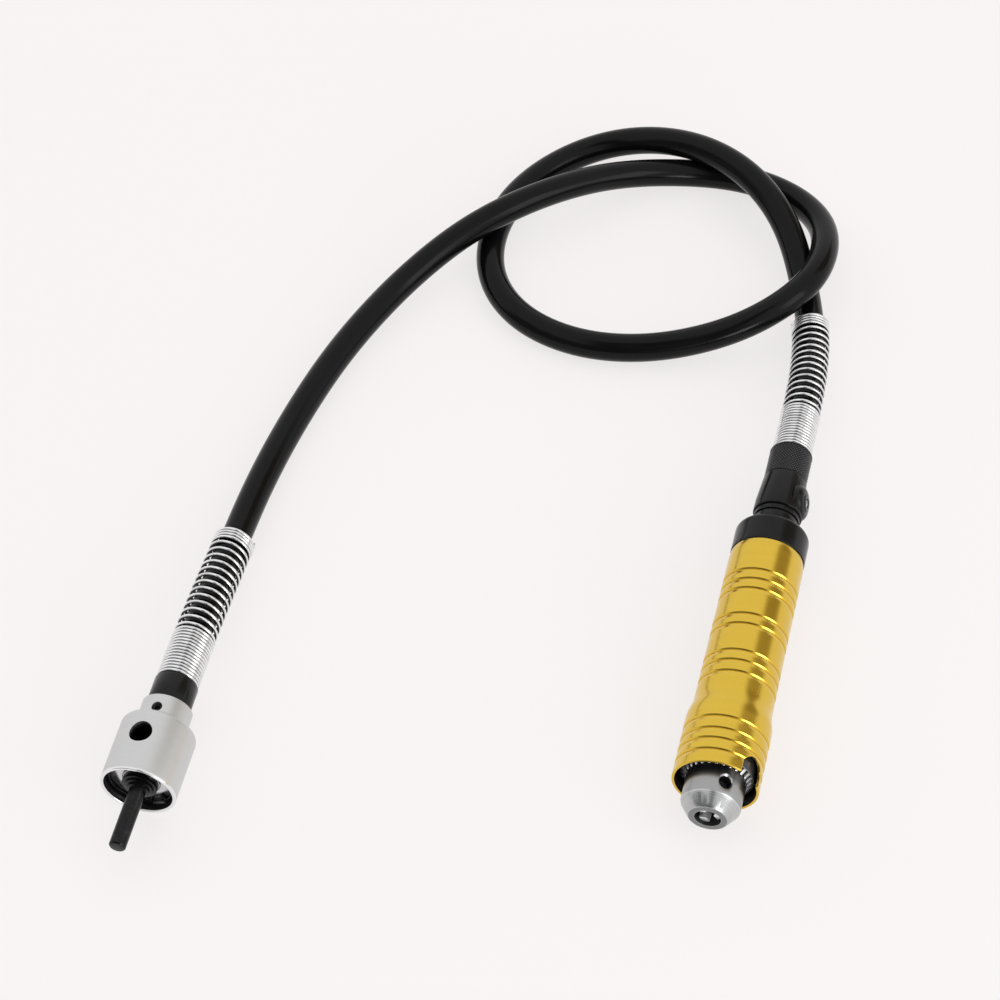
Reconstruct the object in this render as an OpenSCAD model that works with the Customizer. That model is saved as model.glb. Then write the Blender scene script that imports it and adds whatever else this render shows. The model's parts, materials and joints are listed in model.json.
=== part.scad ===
// Flexible-shaft hand tool: a keyed three-jaw chuck in a handpiece, a hose with a
// spring guard at each end, and a drive connector whose round shank goes into a motor
// or drill. Millimetres. Both rigid ends lie along Y on the surface z = 0, with the
// chuck nose and the drive shank pointing towards -Y and the hose looping behind them.

/* [Layout] */
// Distance of the handpiece axis to the right of the middle
hand_x = 103.4; // [95:0.1:110]
// Distance of the drive connector axis to the left of the middle
drive_x = 105.25; // [95:0.05:110]
// Station of the hose end in the handpiece
hand_hose_y = 80.5; // [76:0.1:86]
// Station of the hose end at the drive connector
drive_hose_y = -82.7; // [-88:0.1:-78]

/* [Handle] */
// Radius of the swollen front of the handle, on which it rests
flare_r = 16.6; // [16.2:0.1:18]
// Radius of the slim grip just behind the flare
grip_front_r = 15.15; // [14.8:0.05:15.8]
// Radius of the grip at the rear collar
grip_rear_r = 14.75; // [14.3:0.05:15]
// Length of the metal handle shell
shell_len = 107.2; // [105:0.1:109]
// Radius of the chamber that the chuck turns in
chamber_r = 15.5; // [15.2:0.1:15.7]
// Depth of the shallow finger grooves
groove_depth = 0.4; // [0.2:0.05:0.5]
// Width of the shallow finger grooves
groove_w = 1.8; // [1.4:0.1:2.6]
// Width of the key notch in the front rim
notch_w = 11; // [9:0.5:12]
// Depth of the key notch, back from the rim
notch_depth = 8.9; // [8:0.1:10]
// Angle of the key notch, up from the right-hand side
notch_angle = 37.5; // [30:0.5:60]
// Length of the black collar behind the shell
collar_len = 13.2; // [12:0.1:15]

/* [Chuck] */
// Distance that the chuck nose stands ahead of the handle rim
nose_reach = 14.5; // [12:0.1:15]
// Radius of the chuck body
chuck_r = 11.4; // [11.2:0.1:11.6]
// Length of the chuck body
chuck_len = 34; // [33:0.5:34]
// Radius of the flat nose
nose_r = 7.4; // [7:0.1:8]
// Radius of the hole in the nose
nose_hole_r = 5.1; // [5:0.1:5.4]
// Radius of the three pilot holes for the key
key_hole_r = 2.5; // [2:0.05:2.6]
// Distance of the pilot holes back from the nose
key_hole_reach = 10.9; // [10.5:0.1:12]
// Angle of the first pilot hole, up from the right-hand side
key_hole_angle = 68; // [55:0.5:70]
// Radius of a jaw rod
jaw_rod_r = 2.4; // [2.2:0.05:2.45]
// Tilt of the jaws against the axis
jaw_tilt = 14; // [13.5:0.1:14.5]
// Gap from the axis to a gripping edge as stored
jaw_gap = 2; // [1.5:0.1:2.5]
// Number of bevel teeth on the sleeve
sleeve_teeth = 27; // [24:1:30]

/* [Spring guards] */
// Radius of the spring wire
wire_r = 0.65; // [0.5:0.05:0.65]
// Radius of the wire's centre on the handpiece spring
hand_spring_r = 7.4; // [7.3:0.1:7.6]
// Radius of the wire's centre on the drive spring
drive_spring_r = 7.8; // [7.6:0.1:8]
// Pitch of the close coils at both ends
close_pitch = 1.8; // [1.75:0.05:1.9]
// Pitch of the open coils on the handpiece spring
hand_open_pitch = 3.8; // [3.5:0.05:4]
// Pitch of the open coils on the drive spring
drive_open_pitch = 3.6; // [3.4:0.05:3.8]
// Number of close coils next to the ferrule
close_coils = 11; // [10:1:12]
// Number of open coils
open_coils = 13; // [12:1:14]
// Number of close coils at the hose end
end_coils = 3; // [2:1:4]

/* [Hose] */
// Radius of the hose
hose_r = 6; // [5.5:0.1:6]
// Number of flats around the hose
hose_sides = 10; // [8:2:12]

/* [Drive connector] */
// Radius of the connector cup
cup_r = 14.75; // [14.4:0.05:15]
// Length of the connector from its mouth to its neck's end
cup_len = 37.75; // [36:0.25:40]
// Inner radius of the connector's mouth
mouth_r = 13.3; // [13.2:0.1:13.6]
// Radius of the connector's neck
neck_r = 9.9; // [9.5:0.1:10.2]
// Radius of the access hole over the core's screw
access_r = 4.5; // [4:0.05:4.6]
// Radius of the drive shank
shank_r = 3.25; // [3:0.05:3.5]
// Length of the drive shank ahead of the mouth
shank_len = 24.95; // [20:0.05:30]

/* [Hidden] */
$fn = 72;

eps = 0.02;
gold = [0.83, 0.68, 0.26];
black = [0.10, 0.10, 0.11];
steel = [0.62, 0.63, 0.65];
bright = [0.80, 0.81, 0.83];
dark_steel = [0.16, 0.16, 0.17];
bronze = [0.66, 0.48, 0.26];

// Stations along Y, worked out from the lengths
hand_z = flare_r;
drive_z = cup_r;
ferrule_len = 14.4;
coupler_len = 17.8;
spigot_neck_len = 8.8;
plug_len = 4.5;
ferrule_y = hand_hose_y - ferrule_len;
coupler_y = ferrule_y - coupler_len;
spigot_end_y = ferrule_y - plug_len - 0.5;
collar_rear_y = coupler_y - spigot_neck_len;
shell_rear_y = collar_rear_y - collar_len;
shell_front_y = shell_rear_y - shell_len;
nose_y = shell_front_y - nose_reach;
chuck_rear_y = nose_y + chuck_len;
boss_y = coupler_y + 7.2;
boss_angle = 15;
boss_top = 11.1;

// Handle shell
flare_end_y = shell_front_y + 26.2;
grip_start_y = shell_front_y + 35.2;
front_grooves = [5.6, 10.6, 15.1, 20.6];
grip_grooves = [42.5, 47.7, 52.4, 65, 69.8, 82.1, 86.7, 91.4];
bulkhead_t = 1.8;
bulkhead_y = nose_y + chuck_len + 2.2;
seat_y = bulkhead_y + bulkhead_t;
bore_r = 11;

// Ball bearings of the handpiece, 8 x 22 x 7, and of the drive end, 10 x 26 x 8
small_bearing = [4, 6.05, 9.6, bore_r, 7, 1.9];
large_bearing = [5, 7.3, 10.9, 13, 8, 2.1];
balls = 7;
race_gap = 0.15;
spindle_r = 4;
rear_bearing_y = shell_rear_y - 20;
collar_boss_y = rear_bearing_y + small_bearing[4];

// Chuck mechanism, in distances back from the nose
jaw_first_angle = key_hole_angle - 60;
jaw_nose_r = 2;
jaw_bore_r = jaw_rod_r + 0.05;
jaw_tip = 1.5;
jaw_rear = 29.5;
nut_front = 20.4;
nut_len = 4;
nut_r = 12.6;
groove_floor_r = 9.1;
sleeve_front = 17;
sleeve_rear = 33;
sleeve_r = 14;
sleeve_bore_r = chuck_r + 0.08;
sleeve_back_r = 13.15;
bevel_r = 11.75;
bevel_len = 2;
tooth_depth = 1.2;
thread_r = 4.75;

// Drive end, in stations along Y
neck_end_y = drive_hose_y - 11.6;
mouth_y = neck_end_y - cup_len;
drive_seat_y = mouth_y + 4.35;
cup_shoulder_y = mouth_y + 26.4;
neck_y = cup_shoulder_y + 2.75;
access_y = mouth_y + 17.05;
connector_screw_y = neck_y + 2.7;
bush_y = cup_shoulder_y - 1.5;
bush_len = 4.5;
journal_r = 5;
shank_tip_y = mouth_y - shank_len;
spindle_end_y = bush_y + 3.5;
core_r = 2.6;
access_angle = 101.5;
screw_angle = 99.4;

// Hose route: points for a smooth curve, from the drive ferrule to the handpiece ferrule.
// The first and last three steps are guard_step long and carry the springs.
guard_step = 25;
route = concat(
    [for (k = [0 : 4]) [
        [-drive_x, -drive_x, -105, -105, -104.5][k],
        drive_hose_y + k * guard_step,
        [drive_z, 14.5, 12, 8.5, 7][k]
    ]],
    [
        [-102, 45, 6], [-97.5, 72, 6], [-91.5, 98, 6.5], [-82, 125, 7.5], [-70, 148.5, 10.5],
        [-54, 169, 16.5], [-35.5, 186.5, 20], [-15.5, 206.5, 17], [4, 223, 11], [27.5, 234.5, 6],
        [54, 238, 6], [78.5, 231, 7], [95, 213, 12], [99, 188.5, 19.5], [94.5, 165.5, 22],
        [76, 147, 16], [54.5, 137.5, 9], [31, 129.5, 6], [4, 126, 6], [-22.5, 134, 6],
        [-40, 153, 6], [-45.5, 178, 6], [-41, 205, 6], [-25, 229, 7], [-3, 242.5, 10.5],
        [21, 244, 15.5], [44, 236.5, 19.5], [64.5, 223, 19.5], [81, 205, 14], [91.5, 181.5, 8]
    ],
    [for (k = [3 : -1 : 0]) [
        [hand_x, hand_x, 102.5, 99.5][k],
        hand_hose_y + k * guard_step,
        [hand_z, 16, 11.5, 7.5][k]
    ]]
);
route_last = len(route) - 1;
rings_per_step = 2;
coil_rings = 8;
coil_sides = 6;
stub_len = 2 * wire_r;
elbow_r = 1.2;

// ---------------------------------------------------------------- curves

function unit(v) = v / norm(v);

// Control point i, with one more beyond each end so that the curve reaches the ends
function control(i) =
    i < 0 ? 2 * route[0] - route[1]
    : i > route_last ? 2 * route[route_last] - route[route_last - 1]
    : route[i];

// Point of the cubic B-spline at parameter t, one unit for each control point
function centre(t) =
    let (i = min(floor(t), route_last - 1), u = t - i)
    (control(i - 1) * pow(1 - u, 3)
        + control(i) * (3 * pow(u, 3) - 6 * u * u + 4)
        + control(i + 1) * (-3 * pow(u, 3) + 3 * u * u + 3 * u + 1)
        + control(i + 2) * pow(u, 3)) / 6;

function heading(t) =
    unit(centre(min(t + 0.02, route_last)) - centre(max(t - 0.02, 0)));

// Level direction and upward direction across the curve at t
function across(t) = unit(cross(heading(t), [0, 0, 1]));
function upward(t) = cross(across(t), heading(t));

// Triangles that join rings of n points into a tube with closed ends
function tube_faces(rings, n) = concat(
    [for (k = [1 : n - 2]) [0, k, k + 1]],
    [for (i = [0 : rings - 2], k = [0 : n - 1], upper = [0, 1])
        let (a = i * n + k, b = i * n + (k + 1) % n)
        upper == 0 ? [a, a + n, b] : [b, a + n, b + n]],
    [for (k = [1 : n - 2]) let (z = (rings - 1) * n) [z, z + k + 1, z + k]]
);

module tube(points, rings, n) polyhedron(points = points, faces = tube_faces(rings, n));

// Distance along the guard at coil number c
function coil_station(c, open_pitch) =
    let (open_from = close_coils, open_to = close_coils + open_coils)
    stub_len + elbow_r
        + close_pitch * min(c, open_from)
        + open_pitch * max(min(c, open_to) - open_from, 0)
        + close_pitch * max(c - open_to, 0);

coils = close_coils + open_coils + end_coils;
elbow_turn = 30;

// Wire path as [distance along the guard, angle]: a short stub square to the
// ferrule, an elbow, and then the coils
function wire_path(r, open_pitch) = concat(
    [[0, 0]],
    [for (a = [0 : elbow_turn : 90 - elbow_turn])
        [stub_len + elbow_r * sin(a), elbow_r * (1 - cos(a)) * 180 / (PI * r)]],
    [for (k = [0 : coils * coil_rings])
        [coil_station(k / coil_rings, open_pitch),
            elbow_r * 180 / (PI * r) + k * 360 / coil_rings]]
);

// Place of the wire's centre; at_end is 0 for the drive end and 1 for the handpiece end
function guard_t(s, at_end) =
    at_end == 0 ? s / guard_step : route_last - s / guard_step;
function wire_point(p, r, at_end) =
    let (t = guard_t(p[0], at_end))
    centre(t) + r * (cos(p[1]) * across(t) + sin(p[1]) * upward(t));

// Least free gap between one coil and the next, measured on the points
function coil_gap(pts) =
    min([for (i = [4 : len(pts) - coil_rings - 2], j = [-1 : 1])
        norm(pts[i + coil_rings + j] - pts[i])]) - 2 * wire_r;

module coil_spring(r, open_pitch, at_end) {
    path = wire_path(r, open_pitch);
    pts = [for (p = path) wire_point(p, r, at_end)];
    last = len(pts) - 1;
    rings = [for (i = [0 : last])
        let (
            t = guard_t(path[i][0], at_end),
            dir = i == 0 ? unit(pts[1] - pts[0])
                : i == last ? unit(pts[last] - pts[last - 1])
                : unit(unit(pts[i + 1] - pts[i]) + unit(pts[i] - pts[i - 1])),
            radial = cos(path[i][1]) * across(t) + sin(path[i][1]) * upward(t),
            side = unit(cross(dir, radial)),
            out = cross(side, dir)
        )
        each [for (k = [0 : coil_sides - 1])
            let (a = 360 * k / coil_sides)
            pts[i] + wire_r * (cos(a) * side + sin(a) * out)]];
    echo(str("least coil gap ", coil_gap(pts)));
    tube(rings, last + 1, coil_sides);
}

// ---------------------------------------------------------------- shared shapes

// Turns children, drawn along +Z, onto the handpiece axis, so that z becomes the Y station
module on_hand_axis() translate([hand_x, 0, hand_z]) rotate([-90, 0, 0]) children();
module on_drive_axis() translate([-drive_x, 0, drive_z]) rotate([-90, 0, 0]) children();

// Turns a radial feature, drawn along +X, to an angle up from the right-hand side
module at_angle(angle, station) translate([0, 0, station]) rotate([0, 0, -angle]) children();

// A cylinder along +X between two radii
module radial_cylinder(r, from_r, to_r)
    translate([from_r, 0, 0]) rotate([0, 90, 0]) cylinder(r = r, h = to_r - from_r);

module turned(points) rotate_extrude() polygon(points);

module ring(inner_r, outer_r, from, to)
    turned([[inner_r, from], [outer_r, from], [outer_r, to], [inner_r, to]]);

// Ball bearing races: b = [bore, inner shoulder, outer shoulder, outside, width, ball]
function pitch_r(b) = (b[1] + b[2]) / 2;

module race(from_r, to_r, b, y) {
    difference() {
        ring(from_r, to_r, y, y + b[4]);
        rotate_extrude() translate([pitch_r(b), y + b[4] / 2]) circle(r = b[5] + race_gap);
    }
}
module inner_race(b, y) race(b[0], b[1], b, y);
module outer_race(b, y) race(b[2], b[3], b, y);
module bearing_balls(b, y)
    for (i = [0 : balls - 1])
        at_angle(i * 360 / balls, y + b[4] / 2) translate([pitch_r(b), 0, 0]) sphere(r = b[5]);

// Headless screw with a hexagon socket, along +X, its socket outwards
module grub_screw(r, from_r, to_r) {
    socket_depth = 1.4;
    difference() {
        radial_cylinder(r, from_r, to_r);
        translate([to_r - socket_depth, 0, 0]) rotate([0, 90, 0])
            cylinder(r = r * 0.6, h = socket_depth + eps, $fn = 6);
    }
}

// ---------------------------------------------------------------- handpiece, fixed

// Four points of one shallow groove in a surface of radius r
function groove(y, r) = [
    [r, y - groove_w / 2], [r - groove_depth, y - groove_w / 6],
    [r - groove_depth, y + groove_w / 6], [r, y + groove_w / 2]
];
function grip_r(y) =
    grip_front_r + (grip_rear_r - grip_front_r)
        * (y - grip_start_y) / (shell_rear_y - grip_start_y);

module shell_solid() {
    rim = 0.3;
    blend = 3;
    turned(concat(
        [[chamber_r, shell_front_y], [flare_r - rim, shell_front_y],
         [flare_r, shell_front_y + rim]],
        [for (g = front_grooves) each groove(shell_front_y + g, flare_r)],
        [[flare_r, flare_end_y], [flare_r - 0.3, flare_end_y + blend],
         [grip_front_r + 0.35, grip_start_y - blend], [grip_front_r, grip_start_y]],
        [for (g = grip_grooves) each groove(shell_front_y + g, grip_r(shell_front_y + g))],
        [[grip_rear_r, shell_rear_y], [bore_r, shell_rear_y], [bore_r, seat_y],
         [6.6, seat_y], [6.6, bulkhead_y], [chamber_r, bulkhead_y]]
    ));
}

module key_notch() {
    r = notch_w / 2;
    from_r = 12;
    through = 8;
    at_angle(notch_angle, shell_front_y) {
        translate([from_r, 0, notch_depth - r]) rotate([0, 90, 0])
            cylinder(r = r, h = through);
        translate([from_r, -r, -1]) cube([through, notch_w, notch_depth - r + 1]);
    }
}

module handle_shell() {
    color(gold) on_hand_axis() difference() {
        shell_solid();
        key_notch();
    }
}

// Quarter round from radius r - f at the end face to radius r
function round_end(r, y, f) =
    [for (a = [0 : 15 : 90]) [r - f + f * cos(a), y - f + f * sin(a)]];

module rear_collar() {
    boss_clear = 0.04;
    inner_r = 6;
    thread_hole_r = 7.05;
    thread_depth = 10.5;
    color(black) on_hand_axis() turned(concat(
        [[inner_r, collar_boss_y], [bore_r - boss_clear, collar_boss_y],
         [bore_r - boss_clear, shell_rear_y], [grip_rear_r, shell_rear_y]],
        round_end(grip_rear_r, collar_rear_y, 3),
        [[thread_hole_r, collar_rear_y], [thread_hole_r, collar_rear_y - thread_depth],
         [inner_r, collar_rear_y - thread_depth]]
    ));
}

module rear_spigot() {
    tube_bore_r = 4.6;
    screwed_r = 7;
    screwed_len = 10.4;
    waist_r = 8.9;
    flange_r = 9.2;
    flange_len = 2.4;
    line_r = 8.4;
    line_w = 0.6;
    tube_r = 7.9;
    color(dark_steel) on_hand_axis() turned([
        [tube_bore_r, collar_rear_y - screwed_len], [screwed_r, collar_rear_y - screwed_len],
        [screwed_r, collar_rear_y], [waist_r, collar_rear_y],
        [waist_r, coupler_y - flange_len - line_w], [line_r, coupler_y - flange_len - line_w],
        [line_r, coupler_y - flange_len], [flange_r, coupler_y - flange_len],
        [flange_r, coupler_y], [tube_r, coupler_y], [tube_r, spigot_end_y],
        [tube_bore_r, spigot_end_y]
    ]);
}

// Sleeve that joins the hose to the handpiece, with a swelling that holds the screw
module coupler_sleeve() {
    inner_r = 7.95;
    lip_r = 8.75;
    full_r = 9.85;
    taper_len = 12.5;
    chamfer = 0.5;
    swell_from = 7;
    swell_r = 6.4;
    screw_hole_r = 2;
    color(black) on_hand_axis() difference() {
        union() {
            turned([
                [0, coupler_y], [full_r - chamfer, coupler_y], [full_r, coupler_y + chamfer],
                [full_r, ferrule_y - taper_len], [lip_r, ferrule_y], [0, ferrule_y]
            ]);
            at_angle(boss_angle, boss_y) translate([swell_from, 0, 0]) rotate([0, 90, 0])
                cylinder(r1 = swell_r, r2 = 3.8, h = boss_top - swell_from);
        }
        translate([0, 0, coupler_y - 1]) cylinder(r = inner_r, h = coupler_len + 2);
        at_angle(boss_angle, boss_y) radial_cylinder(screw_hole_r, swell_from, boss_top + 1);
    }
}

module coupler_grub_screw() {
    color(bright) on_hand_axis() at_angle(boss_angle, boss_y)
        grub_screw(1.95, 7.9, boss_top - 0.3);
}

module knurled_ferrule() {
    color(black) on_hand_axis() turned([
        [3.2, ferrule_y - plug_len], [7.9, ferrule_y - plug_len], [7.9, ferrule_y],
        [8.4, ferrule_y],
        [8.7, ferrule_y + 0.4], [8.7, hand_hose_y - 0.6], [8.1, hand_hose_y],
        [3.2, hand_hose_y]
    ]);
}

module handpiece_spring() { color(bright) coil_spring(hand_spring_r, hand_open_pitch, 1); }
module drive_spring() { color(bright) coil_spring(drive_spring_r, drive_open_pitch, 0); }

module hose() {
    steps = route_last * rings_per_step;
    points = [for (i = [0 : steps])
        let (t = i / rings_per_step)
        each [for (k = [0 : hose_sides - 1])
            let (a = 360 * k / hose_sides - 90)
            centre(t) + hose_r * (cos(a) * across(t) + sin(a) * upward(t))]];
    color(black) tube(points, steps + 1, hose_sides);
}

module front_bearing_outer() { color(steel) on_hand_axis() outer_race(small_bearing, seat_y); }
module front_bearing_balls() { color(bright) on_hand_axis() bearing_balls(small_bearing, seat_y); }
module rear_bearing_outer() {
    color(steel) on_hand_axis() outer_race(small_bearing, rear_bearing_y);
}
module rear_bearing_balls() {
    color(bright) on_hand_axis() bearing_balls(small_bearing, rear_bearing_y);
}
module outer_spacer() {
    color(steel) on_hand_axis()
        ring(9.8, bore_r - 0.04, seat_y + small_bearing[4], rear_bearing_y);
}

// ---------------------------------------------------------------- chuck, turning

// One jaw bore or rod, drawn for a jaw that lies along +X from the axis
module jaw_line(r, from, to) {
    translate([jaw_nose_r, 0, 0]) rotate([0, jaw_tilt, 0])
        translate([0, 0, from / cos(jaw_tilt)])
            cylinder(r = r, h = (to - from) / cos(jaw_tilt));
}

module chuck_body() {
    cone_len = 5.5;
    groove_slack = 0.3;
    nose_hole_depth = 6;
    countersink = 0.75;
    // The swelling of the pilot hole's mouth runs on past the body's surface
    past = 0.6;
    color(steel) on_hand_axis() translate([0, 0, nose_y]) difference() {
        turned([
            [0, 0], [nose_r - 0.3, 0], [nose_r + 0.3, 0.3], [chuck_r - 0.4, cone_len - 0.6],
            [chuck_r, cone_len + 0.4], [chuck_r, nut_front - groove_slack],
            [groove_floor_r, nut_front - groove_slack],
            [groove_floor_r, nut_front + nut_len + groove_slack],
            [chuck_r, nut_front + nut_len + groove_slack], [chuck_r, chuck_len],
            [0, chuck_len]
        ]);
        translate([0, 0, -eps]) cylinder(r = nose_hole_r, h = nose_hole_depth + eps);
        cylinder(r = 3.4, h = 16);
        translate([0, 0, 26]) cylinder(r = thread_r, h = chuck_len - 26 + eps);
        for (k = [0 : 2]) {
            at_angle(jaw_first_angle + 120 * k, 0) jaw_line(jaw_bore_r, 0.5, chuck_len + 4);
            at_angle(key_hole_angle + 120 * k, key_hole_reach) {
                radial_cylinder(key_hole_r, 6.6, chuck_r + 1);
                translate([chuck_r - countersink, 0, 0]) rotate([0, 90, 0])
                    cylinder(r1 = key_hole_r, r2 = key_hole_r + countersink + past,
                        h = countersink + past);
            }
        }
    }
}

module jaw(k) {
    grip_reach = 12;
    color(bright) on_hand_axis() at_angle(jaw_first_angle + 120 * k, nose_y) intersection() {
        jaw_line(jaw_rod_r, -2, jaw_rear);
        translate([0, 0, jaw_tip]) linear_extrude(height = chuck_len) polygon([
            [jaw_gap, 0], [jaw_gap + grip_reach, -grip_reach * sqrt(3)],
            [jaw_gap + grip_reach, grip_reach * sqrt(3)]
        ]);
    }
}
module jaw_1() { jaw(0); }
module jaw_2() { jaw(1); }
module jaw_3() { jaw(2); }

// V-shaped gap between two bevel teeth, cut along the bevel
module tooth_gap() {
    bevel_angle = atan(bevel_len / (sleeve_r - bevel_r));
    translate([bevel_r, 0, sleeve_front]) rotate([0, -bevel_angle, 0])
        translate([-1.5, 0, 0]) rotate([90, 0, 90]) linear_extrude(height = 6)
            polygon([[-0.85, -0.5], [0.85, -0.5], [0.35, tooth_depth], [-0.35, tooth_depth]]);
}

module chuck_sleeve() {
    color(dark_steel) on_hand_axis() translate([0, 0, nose_y]) difference() {
        turned([
            [sleeve_bore_r, sleeve_front], [bevel_r, sleeve_front],
            [sleeve_r, sleeve_front + bevel_len], [sleeve_r, sleeve_rear - 0.4],
            [sleeve_r - 0.4, sleeve_rear], [sleeve_back_r, sleeve_rear],
            [sleeve_back_r, nut_front + nut_len], [nut_r, nut_front + nut_len],
            [nut_r, nut_front], [sleeve_bore_r, nut_front]
        ]);
        for (i = [0 : sleeve_teeth - 1]) rotate([0, 0, i * 360 / sleeve_teeth]) tooth_gap();
    }
}

// Conical nut in two halves, pressed into the sleeve
module split_nut() {
    clearance = 0.35;
    slope = tan(jaw_tilt);
    edge = jaw_nose_r + jaw_rod_r / cos(jaw_tilt) + clearance;
    saw = 0.4;
    color(steel) on_hand_axis() translate([0, 0, nose_y]) difference() {
        turned([
            [edge + nut_front * slope, nut_front], [nut_r, nut_front],
            [nut_r, nut_front + nut_len],
            [edge + (nut_front + nut_len) * slope, nut_front + nut_len]
        ]);
        translate([-nut_r - 1, -saw / 2, nut_front - 1])
            cube([2 * nut_r + 2, saw, nut_len + 2]);
    }
}

module chuck_spindle() {
    socket = 4.2;
    socket_depth = 9;
    end_y = collar_rear_y - 2.5;
    color(steel) on_hand_axis() difference() {
        turned([
            [0, nose_y + 26.5], [thread_r - 0.05, nose_y + 26.5],
            [thread_r - 0.05, chuck_rear_y], [6, chuck_rear_y], [6, seat_y],
            [spindle_r, seat_y], [spindle_r, end_y], [0, end_y]
        ]);
        translate([-socket / 2, -socket / 2, end_y - socket_depth])
            cube([socket, socket, socket_depth + eps]);
    }
}

module front_bearing_inner() { color(steel) on_hand_axis() inner_race(small_bearing, seat_y); }
module rear_bearing_inner() {
    color(steel) on_hand_axis() inner_race(small_bearing, rear_bearing_y);
}
module inner_spacer() {
    color(steel) on_hand_axis()
        ring(spindle_r, 5.2, seat_y + small_bearing[4], rear_bearing_y);
}
// Open ring that snaps on a shaft or into a bore, its gap at an angle
module snap_ring(inner_r, outer_r, y, t, gap, angle) {
    difference() {
        ring(inner_r, outer_r, y, y + t);
        at_angle(angle, y - 1) translate([0, -gap / 2, 0]) cube([outer_r + 1, gap, t + 2]);
    }
}
module spindle_circlip() {
    color(dark_steel) on_hand_axis() snap_ring(spindle_r, 5.6, collar_boss_y, 1, 3, 90);
}
// Square end of the flexible core and the first stretch of it inside the ferrule
module core_end_handpiece() {
    tip = 4;
    tip_y = collar_rear_y - 11;
    color(steel) on_hand_axis() {
        translate([-tip / 2, -tip / 2, tip_y]) cube([tip, tip, 10]);
        translate([0, 0, tip_y + 10]) cylinder(r = core_r, h = hand_hose_y - 3 - tip_y - 10);
    }
}

// ---------------------------------------------------------------- drive end

module drive_connector() {
    rim = 0.5;
    shoulder_y = cup_shoulder_y + 2;
    shoulder_round = 3;
    fillet = 1.2;
    chamber = 12;
    bush_bore = 8;
    spigot_bore = 6.5;
    screw_r = 2.1;
    clip_r = 13.9;
    clip_t = 1.25;
    color(bright) on_drive_axis() difference() {
        turned(concat(
            [[mouth_r + 0.3, mouth_y], [cup_r - rim, mouth_y], [cup_r, mouth_y + rim]],
            round_end(cup_r, shoulder_y, shoulder_round),
            [for (a = [0 : 15 : 90])
                [neck_r + fillet * (1 - sin(a)), shoulder_y + fillet * (1 - cos(a))]],
            [[neck_r, neck_end_y - 0.4],
             [neck_r - 0.4, neck_end_y], [spigot_bore, neck_end_y],
             [spigot_bore, bush_y + bush_len], [bush_bore, bush_y + bush_len],
             [bush_bore, bush_y], [chamber, bush_y],
             [chamber, drive_seat_y + large_bearing[4]],
             [large_bearing[3], drive_seat_y + large_bearing[4]],
             [large_bearing[3], drive_seat_y], [clip_r, drive_seat_y],
             [clip_r, drive_seat_y - clip_t], [mouth_r, drive_seat_y - clip_t],
             [mouth_r, mouth_y + 0.4]]
        ));
        at_angle(access_angle, access_y) radial_cylinder(access_r, chamber - 3, cup_r + 1);
        at_angle(screw_angle, connector_screw_y)
            radial_cylinder(screw_r, spigot_bore - 1, neck_r + 1);
    }
}

module connector_grub_screw() {
    color(dark_steel) on_drive_axis()
        at_angle(screw_angle, connector_screw_y) grub_screw(2.05, 6.45, 8.6);
}

// Internal ring with two eared ends, which holds the bearing in the mouth
module mouth_circlip() {
    t = 1.1;
    gap_angle = -62;
    ear_turns = [-17, 17];
    color(dark_steel) on_drive_axis() difference() {
        union() {
            snap_ring(12, 13.85, drive_seat_y - t, t, 6.4, gap_angle);
            for (turn = ear_turns)
                at_angle(gap_angle + turn, drive_seat_y - t) translate([11.7, 0, 0])
                    cylinder(r = 1.6, h = t);
        }
        for (turn = ear_turns)
            at_angle(gap_angle + turn, drive_seat_y - t - 1) translate([11.2, 0, 0])
                cylinder(r = 0.55, h = t + 2);
    }
}

module drive_bearing_shield() {
    t = 0.3;
    from_r = large_bearing[1] + 0.1;
    to_r = large_bearing[2] - 0.02;
    color(steel) on_drive_axis() {
        ring(from_r, to_r, drive_seat_y + 0.1, drive_seat_y + 0.1 + t);
        ring(from_r, to_r, drive_seat_y + large_bearing[4] - 0.1 - t,
            drive_seat_y + large_bearing[4] - 0.1);
    }
}

module drive_bearing_outer() { color(steel) on_drive_axis() outer_race(large_bearing, drive_seat_y); }
module drive_bearing_balls() {
    color(bright) on_drive_axis() bearing_balls(large_bearing, drive_seat_y);
}
module drive_bearing_inner() {
    color(steel) on_drive_axis() inner_race(large_bearing, drive_seat_y);
}
module drive_bush() {
    color(bronze) on_drive_axis() ring(journal_r + 0.05, 8, bush_y, bush_y + bush_len);
}

module drive_ferrule() {
    color(black) on_drive_axis() turned([
        [3.2, bush_y + bush_len + 0.2], [6.45, bush_y + bush_len + 0.2], [6.45, neck_end_y],
        [8.3, neck_end_y], [8.6, neck_end_y + 0.3], [8.6, drive_hose_y - 0.6],
        [8.3, drive_hose_y], [3.2, drive_hose_y]
    ]);
}

module drive_spindle() {
    hub_r = 6.9;
    tip = 0.5;
    core_bore = 3;
    core_depth = 14;
    color(dark_steel) on_drive_axis() difference() {
        turned([
            [0, shank_tip_y], [shank_r - tip, shank_tip_y], [shank_r, shank_tip_y + tip],
            [shank_r, drive_seat_y - 4.2], [4.4, drive_seat_y - 4.2],
            [4.4, drive_seat_y - 3.2], [5.6, drive_seat_y - 3.2], [5.6, drive_seat_y - 2.3],
            [hub_r, drive_seat_y - 2.3], [hub_r, drive_seat_y], [journal_r, drive_seat_y],
            [journal_r, spindle_end_y], [0, spindle_end_y]
        ]);
        translate([0, 0, spindle_end_y - core_depth]) cylinder(r = core_bore, h = core_depth + eps);
        at_angle(access_angle, access_y) radial_cylinder(1.6, 0.5, journal_r + 1);
    }
}

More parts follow.
